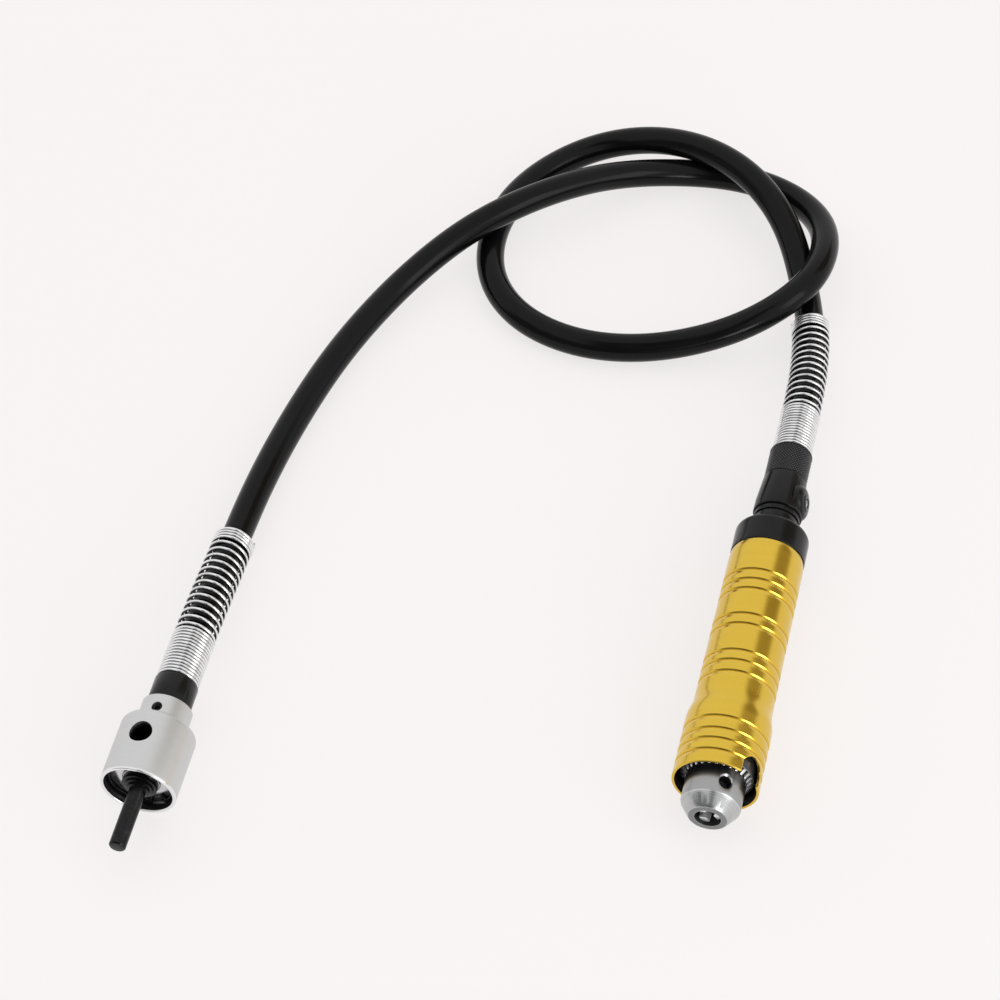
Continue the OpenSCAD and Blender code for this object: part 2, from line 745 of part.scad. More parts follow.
module spindle_grub_screw() {
    color(bright) on_drive_axis() at_angle(access_angle, access_y) grub_screw(1.55, 2.9, 4.9);
}
module drive_spindle_circlip() {
    color(dark_steel) on_drive_axis()
        snap_ring(journal_r, 6.6, drive_seat_y + large_bearing[4], 1.1, 3, 270);
}
module core_end_drive() {
    color(steel) on_drive_axis() translate([0, 0, spindle_end_y - 13.5])
        cylinder(r = 2.85, h = drive_hose_y - 3 - spindle_end_y + 13.5);
}

// ---------------------------------------------------------------- nodes

handle_shell();
rear_collar();
rear_spigot();
coupler_sleeve();
coupler_grub_screw();
knurled_ferrule();
handpiece_spring();
hose();
drive_spring();
drive_ferrule();
drive_connector();
connector_grub_screw();
mouth_circlip();
drive_bearing_shield();
drive_bearing_outer();
drive_bearing_balls();
drive_bush();
front_bearing_outer();
front_bearing_balls();
rear_bearing_outer();
rear_bearing_balls();
outer_spacer();
chuck_body();
chuck_spindle();
front_bearing_inner();
rear_bearing_inner();
inner_spacer();
spindle_circlip();
core_end_handpiece();
chuck_sleeve();
split_nut();
jaw_1();
jaw_2();
jaw_3();
drive_spindle();
drive_bearing_inner();
drive_spindle_circlip();
spindle_grub_screw();
core_end_drive();
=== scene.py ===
"""Scene of a flexible-shaft hand tool: its frame, its visible pieces, and a plain studio.

Lengths in this file are millimetres unless a name ends in _m. Every turned part is centred
on one of two lines along Y: the handpiece axis and the drive axis.
"""

from __future__ import annotations

import json
import logging
import math
from dataclasses import dataclass, field
from enum import Enum
from typing import Any, Callable, Iterable, Sequence

import bmesh
import bpy
from mathutils import Matrix, Vector


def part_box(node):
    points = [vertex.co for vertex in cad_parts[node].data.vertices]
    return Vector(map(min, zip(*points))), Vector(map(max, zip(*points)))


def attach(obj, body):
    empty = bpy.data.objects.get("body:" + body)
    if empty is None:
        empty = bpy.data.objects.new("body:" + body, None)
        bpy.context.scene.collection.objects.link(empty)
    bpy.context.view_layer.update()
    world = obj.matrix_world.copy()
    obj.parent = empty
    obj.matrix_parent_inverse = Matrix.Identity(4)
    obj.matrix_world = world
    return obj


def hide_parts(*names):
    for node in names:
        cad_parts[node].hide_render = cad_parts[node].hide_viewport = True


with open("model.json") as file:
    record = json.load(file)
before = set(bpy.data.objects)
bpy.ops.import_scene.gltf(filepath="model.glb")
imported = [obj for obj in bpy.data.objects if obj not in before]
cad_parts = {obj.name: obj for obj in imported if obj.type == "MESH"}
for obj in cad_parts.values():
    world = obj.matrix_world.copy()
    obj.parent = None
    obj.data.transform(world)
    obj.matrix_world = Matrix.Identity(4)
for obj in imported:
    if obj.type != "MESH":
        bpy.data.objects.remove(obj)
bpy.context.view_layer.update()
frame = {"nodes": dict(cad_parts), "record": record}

LOG = logging.getLogger("flex_shaft_tool")
MM = 0.001
FACE_STRETCH = 1.37  # sets the rings of a face apart from those of a cylinder
Profile = list[tuple[float, float]]
Colour = tuple[float, float, float]
Spot = tuple[float, float, float]
Reach = tuple[float, float, float, float]


class Axis(Enum):
    """The two lines along Y that turned parts are centred on, as (x, z)."""

    HAND = (103.4, 16.6)
    DRIVE = (-105.25, 14.75)

    @property
    def x(self) -> float:
        """Distance to the right of the middle."""
        return self.value[0]

    @property
    def z(self) -> float:
        """Height above the surface."""
        return self.value[1]

    def point(self, radius: float, angle: float, station: float) -> Vector:
        """Finds a point around the axis.

        Args:
            radius: Distance from the axis.
            angle: Degrees up from the right-hand side.
            station: Place along Y.

        Returns:
            The point, in millimetres.
        """
        turn = math.radians(angle)
        return Vector(
            (self.x + radius * math.cos(turn), station, self.z + radius * math.sin(turn))
        )


# ------------------------------------------------------------------ node graphs


def operation(name: str, swapped: bool = False) -> Callable[..., Value]:
    """Makes a method of Value that adds one Math node.

    Args:
        name: Blender's name of the operation.
        swapped: Whether the method's own number comes last.

    Returns:
        The method, which takes the node's other inputs and returns its result.
    """

    def apply(number: Value, *others: Value | float) -> Value:
        """Adds the node."""
        terms = (*others, number) if swapped else (number, *others)
        settings = {"operation": name}
        return number.graph.value("ShaderNodeMath", settings, dict(enumerate(terms)))

    return apply


class Value:
    """A number that flows through a node graph, with Python's arithmetic."""

    def __init__(self, graph: Graph, socket: bpy.types.NodeSocket) -> None:
        """Keeps the graph and the output socket that carries the number."""
        self.graph = graph
        self.socket = socket

    __add__ = __radd__ = operation("ADD")
    __sub__ = operation("SUBTRACT")
    __rsub__ = operation("SUBTRACT", swapped=True)
    __mul__ = __rmul__ = operation("MULTIPLY")
    __truediv__ = operation("DIVIDE")
    __pow__ = operation("POWER")
    __mod__ = operation("FLOORED_MODULO")
    __gt__ = operation("GREATER_THAN")
    floor = operation("FLOOR")
    sine = operation("SINE")
    cosine = operation("COSINE")

    def ramp(self, low: float, high: float) -> Value:
        """Rises from 0 at a low value to 1 at a high one, and stays within them."""
        return self.graph.value(
            "ShaderNodeMapRange",
            {"clamp": True},
            {"Value": self, "From Min": low, "From Max": high},
        )


class Graph:
    """A node tree that is filled in code."""

    def __init__(self, tree: bpy.types.NodeTree) -> None:
        """Takes the tree to fill."""
        self.tree = tree

    def node(
        self,
        kind: str,
        settings: dict[str, Any] | None = None,
        inputs: dict[str | int, Any] | None = None,
    ) -> bpy.types.Node:
        """Adds one node.

        Args:
            kind: The node's type.
            settings: Its properties, which are set first.
            inputs: Values, sockets or Value results, by input name or number.

        Returns:
            The new node.
        """
        made = self.tree.nodes.new(kind)
        for name, value in (settings or {}).items():
            setattr(made, name, value)
        for key, value in (inputs or {}).items():
            if isinstance(value, Value):
                value = value.socket
            if isinstance(value, bpy.types.NodeSocket):
                self.tree.links.new(value, made.inputs[key])
            else:
                made.inputs[key].default_value = value
        return made

    def socket(self, kind: str, *about: dict[Any, Any] | None) -> bpy.types.NodeSocket:
        """Adds a node and hands out its first output."""
        return self.node(kind, *about).outputs[0]

    def value(self, kind: str, *about: dict[Any, Any] | None) -> Value:
        """Adds a node and hands out its first output as a number."""
        return Value(self, self.socket(kind, *about))

    def mix(self, share: Value | float, first: Any, second: Any) -> bpy.types.NodeSocket:
        """Blends two colours.

        Args:
            share: How much of the second one.
            first: A colour or a colour socket.
            second: A colour or a colour socket.

        Returns:
            The blended colour.
        """
        inputs: dict[str | int, Any] = {0: share}
        for number, colour in ((6, first), (7, second)):
            is_socket = isinstance(colour, bpy.types.NodeSocket)
            inputs[number] = colour if is_socket else (*colour, 1.0)
        return self.node("ShaderNodeMix", {"data_type": "RGBA"}, inputs).outputs[2]


class Surface(Graph):
    """The graph of one material, with the patterns that the finishes share."""

    def __init__(self, name: str) -> None:
        """Makes an empty material."""
        self.material = bpy.data.materials.new(name)
        self.material.use_nodes = True
        super().__init__(self.material.node_tree)
        self.tree.nodes.clear()
        self.place = self.node("ShaderNodeTexCoord").outputs["Object"]

    def mark(self, name: str) -> Value:
        """Reads an attribute that the piece carries."""
        made = self.node("ShaderNodeAttribute", {"attribute_name": name})
        return Value(self, made.outputs["Fac"])

    def noise(self, waves_per_mm: float, detail: float = 3.0) -> Value:
        """Soft random variation in space, around one half."""
        waves = {"Vector": self.place, "Scale": [waves_per_mm / MM] * 3}
        spot = self.socket("ShaderNodeMapping", None, waves)
        return self.noise_at(spot, detail)

    def noise_at(self, spot: bpy.types.NodeSocket, detail: float) -> Value:
        """Soft random variation at a point that a socket gives."""
        inputs = {"Vector": spot, "Scale": 1.0, "Detail": detail}
        return self.value("ShaderNodeTexNoise", None, inputs)

    def streaks(self, reading: Value, detail: float) -> Value:
        """Random variation along one reading only, around one half."""
        return self.value(
            "ShaderNodeTexNoise",
            {"noise_dimensions": "1D"},
            {"W": reading, "Scale": 1.0, "Detail": detail},
        )

    def off_axis(self, axis: Axis) -> tuple[Value, Value]:
        """Finds the turning coordinates of a point.

        Args:
            axis: The line that the part is turned on.

        Returns:
            Distance from the axis and station along it, both in millimetres.
        """
        parts = self.node("ShaderNodeSeparateXYZ", None, {0: self.place})
        x, y, z = (Value(self, socket) * (1 / MM) for socket in parts.outputs)
        across, up = x - axis.x, z - axis.z
        return (across * across + up * up) ** 0.5, y

    def lathe_lines(self, axis: Axis, lines_per_mm: float, detail: float = 2.0) -> Value:
        """Rings that a lathe tool leaves on a cylinder, a cone and a face alike.

        Args:
            axis: The line that the part is turned on.
            lines_per_mm: How fine the rings are.
            detail: Octaves of finer rings.

        Returns:
            A value around one half that changes only along the profile.
        """
        radius, station = self.off_axis(axis)
        return self.streaks((station + radius * FACE_STRETCH) * lines_per_mm, detail)

    def scratches(self, share: float) -> Value:
        """Thin random hairlines.

        Args:
            share: How much of the surface they cover.

        Returns:
            One on a hairline, else zero.
        """
        wander = self.noise(0.12, 2.0)
        slanted = self.socket(
            "ShaderNodeMapping",
            None,
            {"Vector": self.place, "Scale": (260.0, 95.0, 260.0), "Rotation": (0.5, 0.3, 0.6)},
        )
        cells = self.value(
            "ShaderNodeTexVoronoi",
            {"feature": "DISTANCE_TO_EDGE"},
            {"Vector": slanted, "Scale": 1.0},
        )
        return (1 - cells.ramp(0.0, share)) * wander.ramp(0.52, 0.62)

    def bump(self, height: Value, depth: float) -> bpy.types.NodeSocket:
        """Turns a height from 0 to 1 into a normal, depth being the height of 1."""
        return self.socket(
            "ShaderNodeBump", None, {"Height": height, "Distance": depth * MM, "Strength": 1.0}
        )

    def finish(self, **sockets: Any) -> bpy.types.Material:
        """Adds the shader and the output.

        Args:
            sockets: Inputs of the principled shader, with _ for a space.

        Returns:
            The finished material.
        """
        inputs = {name.replace("_", " "): value for name, value in sockets.items()}
        shader = self.socket("ShaderNodeBsdfPrincipled", None, inputs)
        self.node("ShaderNodeOutputMaterial", None, {0: shader})
        return self.material


class Form(Graph):
    """A Geometry Nodes tree that makes one kind of piece."""

    def __init__(self, name: str) -> None:
        """Makes an empty tree with geometry going in and out."""
        super().__init__(bpy.data.node_groups.new(name, "GeometryNodeTree"))
        for way in ("INPUT", "OUTPUT"):
            self.tree.interface.new_socket(
                "Geometry", in_out=way, socket_type="NodeSocketGeometry"
            )
        self.entry = self.node("NodeGroupInput")
        self.identifiers: dict[str, str] = {}

    def _input(self, name: str, kind: str) -> bpy.types.NodeSocket:
        """Adds a named input and keeps its identifier."""
        made = self.tree.interface.new_socket(name, in_out="INPUT", socket_type=kind)
        self.identifiers[name] = made.identifier
        return self.entry.outputs[name]

    def sizes(self, *names: str) -> list[Value]:
        """Adds named lengths."""
        return [Value(self, self._input(name, "NodeSocketFloat")) for name in names]

    def counts(self, *names: str) -> list[Value]:
        """Adds named whole numbers."""
        return [Value(self, self._input(name, "NodeSocketInt")) for name in names]

    def close(self, geometry: bpy.types.NodeSocket) -> Form:
        """Ends the tree with realized, dressed geometry.

        Args:
            geometry: The geometry that the tree makes.

        Returns:
            The finished tree.
        """
        whole = self.socket("GeometryNodeRealizeInstances", None, {0: geometry})
        finish = self._input("Finish", "NodeSocketMaterial")
        dressed = self.socket(
            "GeometryNodeSetMaterial", None, {"Geometry": whole, "Material": finish}
        )
        self.node("NodeGroupOutput", None, {0: dressed})
        return self

    def make(
        self, seed: bpy.types.Object, finish: bpy.types.Material, **sizes: Any
    ) -> bpy.types.Object:
        """Runs the tree on an object and keeps the result as its plain mesh.

        Args:
            seed: The object that the tree starts from.
            finish: The material of the result.
            sizes: Values of the named inputs, with _ for a space.

        Returns:
            The same object, with the made mesh and no modifier.
        """
        live = seed.modifiers.new(self.tree.name, "NODES")
        live.node_group = self.tree
        live[self.identifiers["Finish"]] = finish
        for name, value in sizes.items():
            live[self.identifiers[name.replace("_", " ")]] = value
        return settle(seed)


# ------------------------------------------------------------------ mesh helpers

TINY = 1e-6  # a length that counts as none
WELD_M = 1e-6
FLAT_TURN = math.radians(0.4)
SHARP_CORNER = math.radians(24)
CORNER_STEPS = 4
RADIAL_SIDES = 64


def settle(piece: bpy.types.Object) -> bpy.types.Object:
    """Turns live modifiers into a plain mesh.

    Args:
        piece: An object with modifiers.

    Returns:
        The same object without them.
    """
    bpy.context.view_layer.update()
    graph = bpy.context.evaluated_depsgraph_get()
    mesh = bpy.data.meshes.new_from_object(
        piece.evaluated_get(graph), preserve_all_data_layers=True, depsgraph=graph
    )
    piece.modifiers.clear()
    piece.data = mesh
    return piece


def piece_of(name: str, mesh: bpy.types.Mesh) -> bpy.types.Object:
    """Puts a mesh in the scene as a new object."""
    made = bpy.data.objects.new(name, mesh)
    bpy.context.scene.collection.objects.link(made)
    return made


def piece_from(name: str, form: bmesh.types.BMesh) -> bpy.types.Object:
    """Writes a form to a new mesh, frees it and puts the mesh in the scene."""
    mesh = bpy.data.meshes.new(name)
    form.to_mesh(mesh)
    form.free()
    return piece_of(name, mesh)


def line_mesh(name: str, points: Sequence[Vector]) -> bpy.types.Object:
    """Makes an open line of edges through points given in millimetres."""
    mesh = bpy.data.meshes.new(name)
    edges = [(i, i + 1) for i in range(len(points) - 1)]
    mesh.from_pydata([tuple(p * MM) for p in points], edges, [])
    return piece_of(name, mesh)


def stairs(radius: float, station: float, *moves: float) -> Profile:
    """Draws a profile of square steps.

    Args:
        radius: Radius of the first corner.
        station: Station of the first corner.
        moves: The next station, the next radius, the next station, and so on.

    Returns:
        The corners.
    """
    made = [(radius, station)]
    for i, move in enumerate(moves):
        last_r, last_y = made[-1]
        made.append((move, last_y) if i % 2 else (last_r, move))
    return made


def rounded(corners: Profile, radius: float, closed: bool = True) -> Profile:
    """Rounds the sharp corners of a turned profile.

    Args:
        corners: (radius, station) pairs.
        radius: Radius of the rounding, less where an edge is short.
        closed: Whether the profile joins up; an open one ends on the axis.

    Returns:
        The profile with an arc in place of each sharp corner.
    """
    made: Profile = []
    count = len(corners)
    for i, corner in enumerate(corners):
        here = Vector(corner)
        back = Vector(corners[i - 1]) - here
        ahead = Vector(corners[(i + 1) % count]) - here
        is_end = not closed and i in (0, count - 1)
        is_flat = min(back.length, ahead.length) < TINY
        if is_end or is_flat or math.pi - back.angle(ahead) < SHARP_CORNER:
            made.append(corner)
            continue
        turn = math.pi - back.angle(ahead)
        reach = min(radius * math.tan(turn / 2), 0.45 * back.length, 0.45 * ahead.length)
        start = here + back.normalized() * reach
        end = here + ahead.normalized() * reach
        for k in range(CORNER_STEPS + 1):
            t = k / CORNER_STEPS
            p = start * (1 - t) ** 2 + here * 2 * t * (1 - t) + end * t**2
            made.append((p.x, p.y))
    return made


def skin(form: bmesh.types.BMesh, rings: Sequence[list[bmesh.types.BMVert]]) -> None:
    """Joins each ring of points to the next one with faces.

    Args:
        form: The mesh that the points are in.
        rings: The rings, each of which may be a single point.
    """
    for low, high in zip(rings, rings[1:]):
        sides = max(len(low), len(high))
        for k in range(sides if sides > 1 else 0):
            n = (k + 1) % sides
            corners = [low[k % len(low)], low[n % len(low)]]
            corners += [high[n % len(high)], high[k % len(high)]]
            form.faces.new(list(dict.fromkeys(corners)))


def smooth(piece: bpy.types.Object, angle: float = 32.0) -> None:
    """Shades a piece smooth, with sharp edges where its faces turn by more than an angle."""
    piece.data.polygons.foreach_set("use_smooth", [True] * len(piece.data.polygons))
    piece.data.set_sharp_from_angle(angle=math.radians(angle))


def turned(
    name: str, axis: Axis, profile: Profile, sides: int, closed: bool = True
) -> bpy.types.Object:
    """Turns a profile round an axis.

    Args:
        name: The piece's name.
        axis: The line to turn it on.
        profile: (radius, station) pairs.
        sides: Faces around.
        closed: Whether the profile joins up; an open one starts and ends on the axis.

    Returns:
        A closed mesh with its faces outwards.
    """
    form = bmesh.new()
    rings = []
    for r, y in profile:
        count = 1 if r < TINY else sides
        around = [axis.point(r, 360 * k / sides, y) * MM for k in range(count)]
        rings.append([form.verts.new(point) for point in around])
    skin(form, [*rings, rings[0]] if closed else rings)
    bmesh.ops.recalc_face_normals(form, faces=form.faces)
    made = piece_from(name, form)
    smooth(made)
    return made


def radial_form(
    name: str, axis: Axis, angle: float, station: float, profile: Profile
) -> bpy.types.Object:
    """Makes a round solid that points straight away from an axis.

    Args:
        name: The piece's name.
        axis: The line that it points away from.
        angle: Degrees up from the right-hand side.
        station: Place along Y.
        profile: Its own radius and the distance from the axis, from the inner end outwards.

    Returns:
        The closed solid, as an object at the origin.
    """
    form = bmesh.new()
    turns = [2 * math.pi * k / RADIAL_SIDES for k in range(RADIAL_SIDES)]
    rings = [
        [form.verts.new((r * MM * math.cos(a), r * MM * math.sin(a), d * MM)) for a in turns]
        for r, d in profile
    ]
    skin(form, rings)
    form.faces.new(rings[0])
    form.faces.new(rings[-1])
    bmesh.ops.recalc_face_normals(form, faces=form.faces)
    out = axis.point(1, angle, 0) - axis.point(0, angle, 0)
    turn = out.to_track_quat("Z", "Y").to_matrix().to_4x4()
    form.transform(Matrix.Translation(axis.point(0, angle, station) * MM) @ turn)
    return piece_from(name, form)


def radial_pin(
    name: str, axis: Axis, angle: float, station: float, radius: float, *ends: float
) -> bpy.types.Object:
    """Makes a cylinder that points straight away from an axis, between two distances."""
    return radial_form(name, axis, angle, station, [(radius, end) for end in ends])


def cut(
    piece: bpy.types.Object, tools: Iterable[bpy.types.Object], operation: str = "DIFFERENCE"
) -> bpy.types.Object:
    """Cuts tools out of a piece, or joins them to it, and removes them.

    Args:
        piece: The piece to work on.
        tools: Closed objects.
        operation: Blender's name of the boolean operation.

    Returns:
        The piece, as a plain mesh.
    """
    used = list(tools)
    for tool in used:
        live = piece.modifiers.new("cut", "BOOLEAN")
        live.operation = operation
        live.solver = "EXACT"
        live.object = tool
    settle(piece)
    for tool in used:
        bpy.data.objects.remove(tool)
    return piece


def eased(
    piece: bpy.types.Object, width: float, segments: int = 2, angle: float = 35.0
) -> bpy.types.Object:
    """Breaks the sharp edges of a piece.

    Args:
        piece: The piece to work on.
        width: Width of the broken edge.
        segments: Faces across it.
        angle: Least turn of an edge that is broken, in degrees.

    Returns:
        The piece, smooth shaded.
    """
    live = piece.modifiers.new("ease", "BEVEL")
    live.width = width * MM
    live.segments = segments
    live.limit_method = "ANGLE"
    live.angle_limit = math.radians(angle)
    live.use_clamp_overlap = True
    live.harden_normals = False
    settle(piece)
    smooth(piece)
    return piece


def dress(piece: bpy.types.Object, finish: bpy.types.Material) -> None:
    """Gives a piece its only material."""
    piece.data.materials.clear()
    piece.data.materials.append(finish)


def place(piece: bpy.types.Object, body: str, slot: str, *nodes: str) -> bpy.types.Object:
    """Ties a finished piece to the frame.

    Args:
        piece: The finished piece.
        body: The body that it moves with.
        slot: The record's material slot of its finish; not used.
        nodes: The CAD nodes that it stands for.

    Returns:
        The piece.
    """
    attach(piece, body)
    if nodes:
        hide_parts(*nodes)
    LOG.info("%s: %d faces on %s", piece.name, len(piece.data.polygons), body)
    return piece


# ------------------------------------------------------------------ finishes


@dataclass(frozen=True)
class Finish:
    """What every finish has: its slot in the record and the axis that it is turned on."""

    slot: str
    axis: Axis

    def surface(self) -> Surface:
        """Starts a material that is named for the slot and the axis."""
        return Surface(f"{self.slot}_{self.axis.name.lower()}")

    def material(self) -> bpy.types.Material:
        """Builds the material."""
        raise NotImplementedError


@dataclass(frozen=True)
class Zone:
    """A stretch of a turned surface with a colour of its own, between radii and stations, used
    for bands of another tone, for painted shade and for painted highlights.
    """

    radii: tuple[float, float]
    colour: Colour
    stations: tuple[float, float]
    metallic: float = 1.0
    roughness: float = 0.3
    fade: float = 0.01

    def mask(self, radius: Value, station: Value) -> Value:
        """One inside the zone and zero elsewhere, fading over a length at its front."""
        near, far = self.radii
        front, rear = self.stations
        entered = station.ramp(front - self.fade, front + self.fade)
        return (radius > near) * (1 - (radius > far)) * entered * (1 - (station > rear))


@dataclass(frozen=True)
class TurnedMetal(Finish):
    """Metal from the lathe: fine rings, hairlines and a slight cloud of tone."""

    colour: Colour
    shade: Colour
    metallic: float = 1.0
    roughness: float = 0.3
    spread: float = 0.12
    lines_per_mm: float = 3.0
    line_depth: float = 0.02
    scratch: float = 0.4
    coat: float = 0.0
    zones: tuple[Zone, ...] = ()

    def material(self) -> bpy.types.Material:
        """Builds the material.

        Returns:
            A metal whose rings follow its own axis.
        """
        made = self.surface()
        fine = made.lathe_lines(self.axis, self.lines_per_mm, 3.0)
        broad = made.lathe_lines(self.axis, self.lines_per_mm / 7, 1.0)
        cloud = made.noise(0.06)
        hair = made.scratches(0.012)
        tone = (fine * 0.5 + broad * 0.2 + cloud * 0.3).ramp(0.35, 0.65)
        colour = made.mix(tone, self.shade, self.colour)
        metallic: Value | float = self.metallic
        rough = self.roughness + (fine - 0.5) * self.spread + (cloud - 0.5) * self.spread
        radius, station = made.off_axis(self.axis)
        # Most zones paint shade in place of real shade, and one paints a highlight.
        for zone in self.zones:
            inside = zone.mask(radius, station)
            colour = made.mix(inside, colour, zone.colour)
            metallic = metallic + inside * (zone.metallic - self.metallic)
            rough = rough + inside * (zone.roughness - self.roughness)
        height = fine * 0.7 + broad * 0.3 - hair * self.scratch
        return made.finish(
            Base_Color=colour,
            Metallic=metallic,
            Roughness=rough + hair * 0.1,
            Coat_Weight=self.coat,
            Coat_Roughness=0.15,
            Normal=made.bump(height, self.line_depth),
        )


@dataclass(frozen=True)
class Moulding(Finish):
    """Smooth dark paint or plastic: a clean gloss, faint ripple, dust and handling marks."""

    colour: Colour = (0.005, 0.005, 0.0055)
    worn: Colour = (0.014, 0.014, 0.015)
    roughness: float = 0.2
    ripple: float = 0.012
    rubbed: Colour = (0.25, 0.25, 0.255)
    rubbed_radii: tuple[float, float] = (900.0, 1000.0)

    def material(self) -> bpy.types.Material:
        """Builds the material.

        Returns:
            A dark gloss finish, rubbed bare between two radii.
        """
        made = self.surface()
        cloud = made.noise(0.09, 4.0)
        grain = made.noise(2.2, 2.0)
        hair = made.scratches(0.01)
        wear = cloud.ramp(0.4, 0.75) * 0.5 + hair * 0.3
        bare = made.off_axis(self.axis)[0].ramp(*self.rubbed_radii)
        return made.finish(
            Base_Color=made.mix(bare, made.mix(wear, self.colour, self.worn), self.rubbed),
            Metallic=bare,
            Roughness=self.roughness + (cloud - 0.5) * 0.1 + hair * 0.12,
            Specular_IOR_Level=0.22,
            Normal=made.bump(cloud * 0.6 + grain * 0.4, self.ripple),
        )


@dataclass(frozen=True)
class BlackSteel(Finish):
    """Blackened steel: dark, slightly mottled and worn to grey in places."""

    colour: Colour = (0.009, 0.009, 0.0095)
    worn: Colour = (0.035, 0.035, 0.036)
    roughness: float = 0.27

    def material(self) -> bpy.types.Material:
        """Builds the material.

        Returns:
            A dark metal.
        """
        made = self.surface()
        mottle = made.noise(0.5, 5.0)
        rings = made.lathe_lines(self.axis, 3.5)
        wear = mottle.ramp(0.5, 0.8) * 0.6 + made.scratches(0.014) * 0.4
        return made.finish(
            Base_Color=made.mix(wear, self.colour, self.worn),
            Metallic=0.65,
            Roughness=self.roughness + (mottle - 0.5) * 0.2,
            Normal=made.bump(rings * 0.6 + mottle * 0.4, 0.015),
        )


@dataclass(frozen=True)
class Rubber(Finish):
    """Extruded black rubber: soft gloss, faint lengthwise drag marks and bloom."""

    colour: Colour = (0.004, 0.004, 0.0042)
    bloom: Colour = (0.007, 0.007, 0.0075)
    roughness: float = 0.17

    def material(self) -> bpy.types.Material:
        """Builds the material.

        Returns:
            A rubber whose marks follow its piece's along and around attributes.
        """
        made = Surface(self.slot)
        along, around = made.mark("along"), made.mark("around")
        spot = made.socket("ShaderNodeCombineXYZ", None, {0: along * 120.0, 1: around * 40.0})
        drag = made.noise_at(spot, 3.0)
        cloud = made.noise(0.03, 4.0)
        skin_grain = made.noise(1.6)
        bloomed = cloud.ramp(0.42, 0.75) * 0.6 + drag.ramp(0.55, 0.8) * 0.3
        return made.finish(
            Base_Color=made.mix(bloomed, self.colour, self.bloom),
            Roughness=self.roughness + (cloud - 0.5) * 0.14 + (drag - 0.5) * 0.08,
            Specular_IOR_Level=0.15,
            Normal=made.bump(drag * 0.45 + skin_grain * 0.15 + cloud * 0.4, 0.03),
        )


@dataclass(frozen=True)
class Wire(Finish):
    """Plated spring wire: bright, drawn lengthwise, with painted shade where the coils meet
    and where they face the hose.
    """

    colour: Colour = (0.88, 0.88, 0.89)
    tarnish: Colour = (0.7, 0.7, 0.71)
    # Colour of the painted shade between the coils.
    grime: Colour = (0.03, 0.03, 0.032)
    roughness: float = 0.16

    def material(self) -> bpy.types.Material:
        """Builds the material.

        Returns:
            A metal whose marks follow its piece's along and outward attributes.
        """
        made = Surface(self.slot)
        drawn = made.streaks(made.mark("along") * 90.0, 2.0)
        clean = made.mix(drawn.ramp(0.4, 0.75), self.colour, self.tarnish)
        # Painted shade: the wire turns dark, rougher and less metallic where it faces the next
        # coils and the hose, in place of the shade there.
        shown = made.mark("outward").ramp(0.3, 0.72)
        return made.finish(
            Base_Color=made.mix(shown, self.grime, clean),
            Metallic=0.35 + shown * 0.65,
            Roughness=self.roughness + (drawn - 0.5) * 0.1 + (1 - shown) * 0.25,
        )


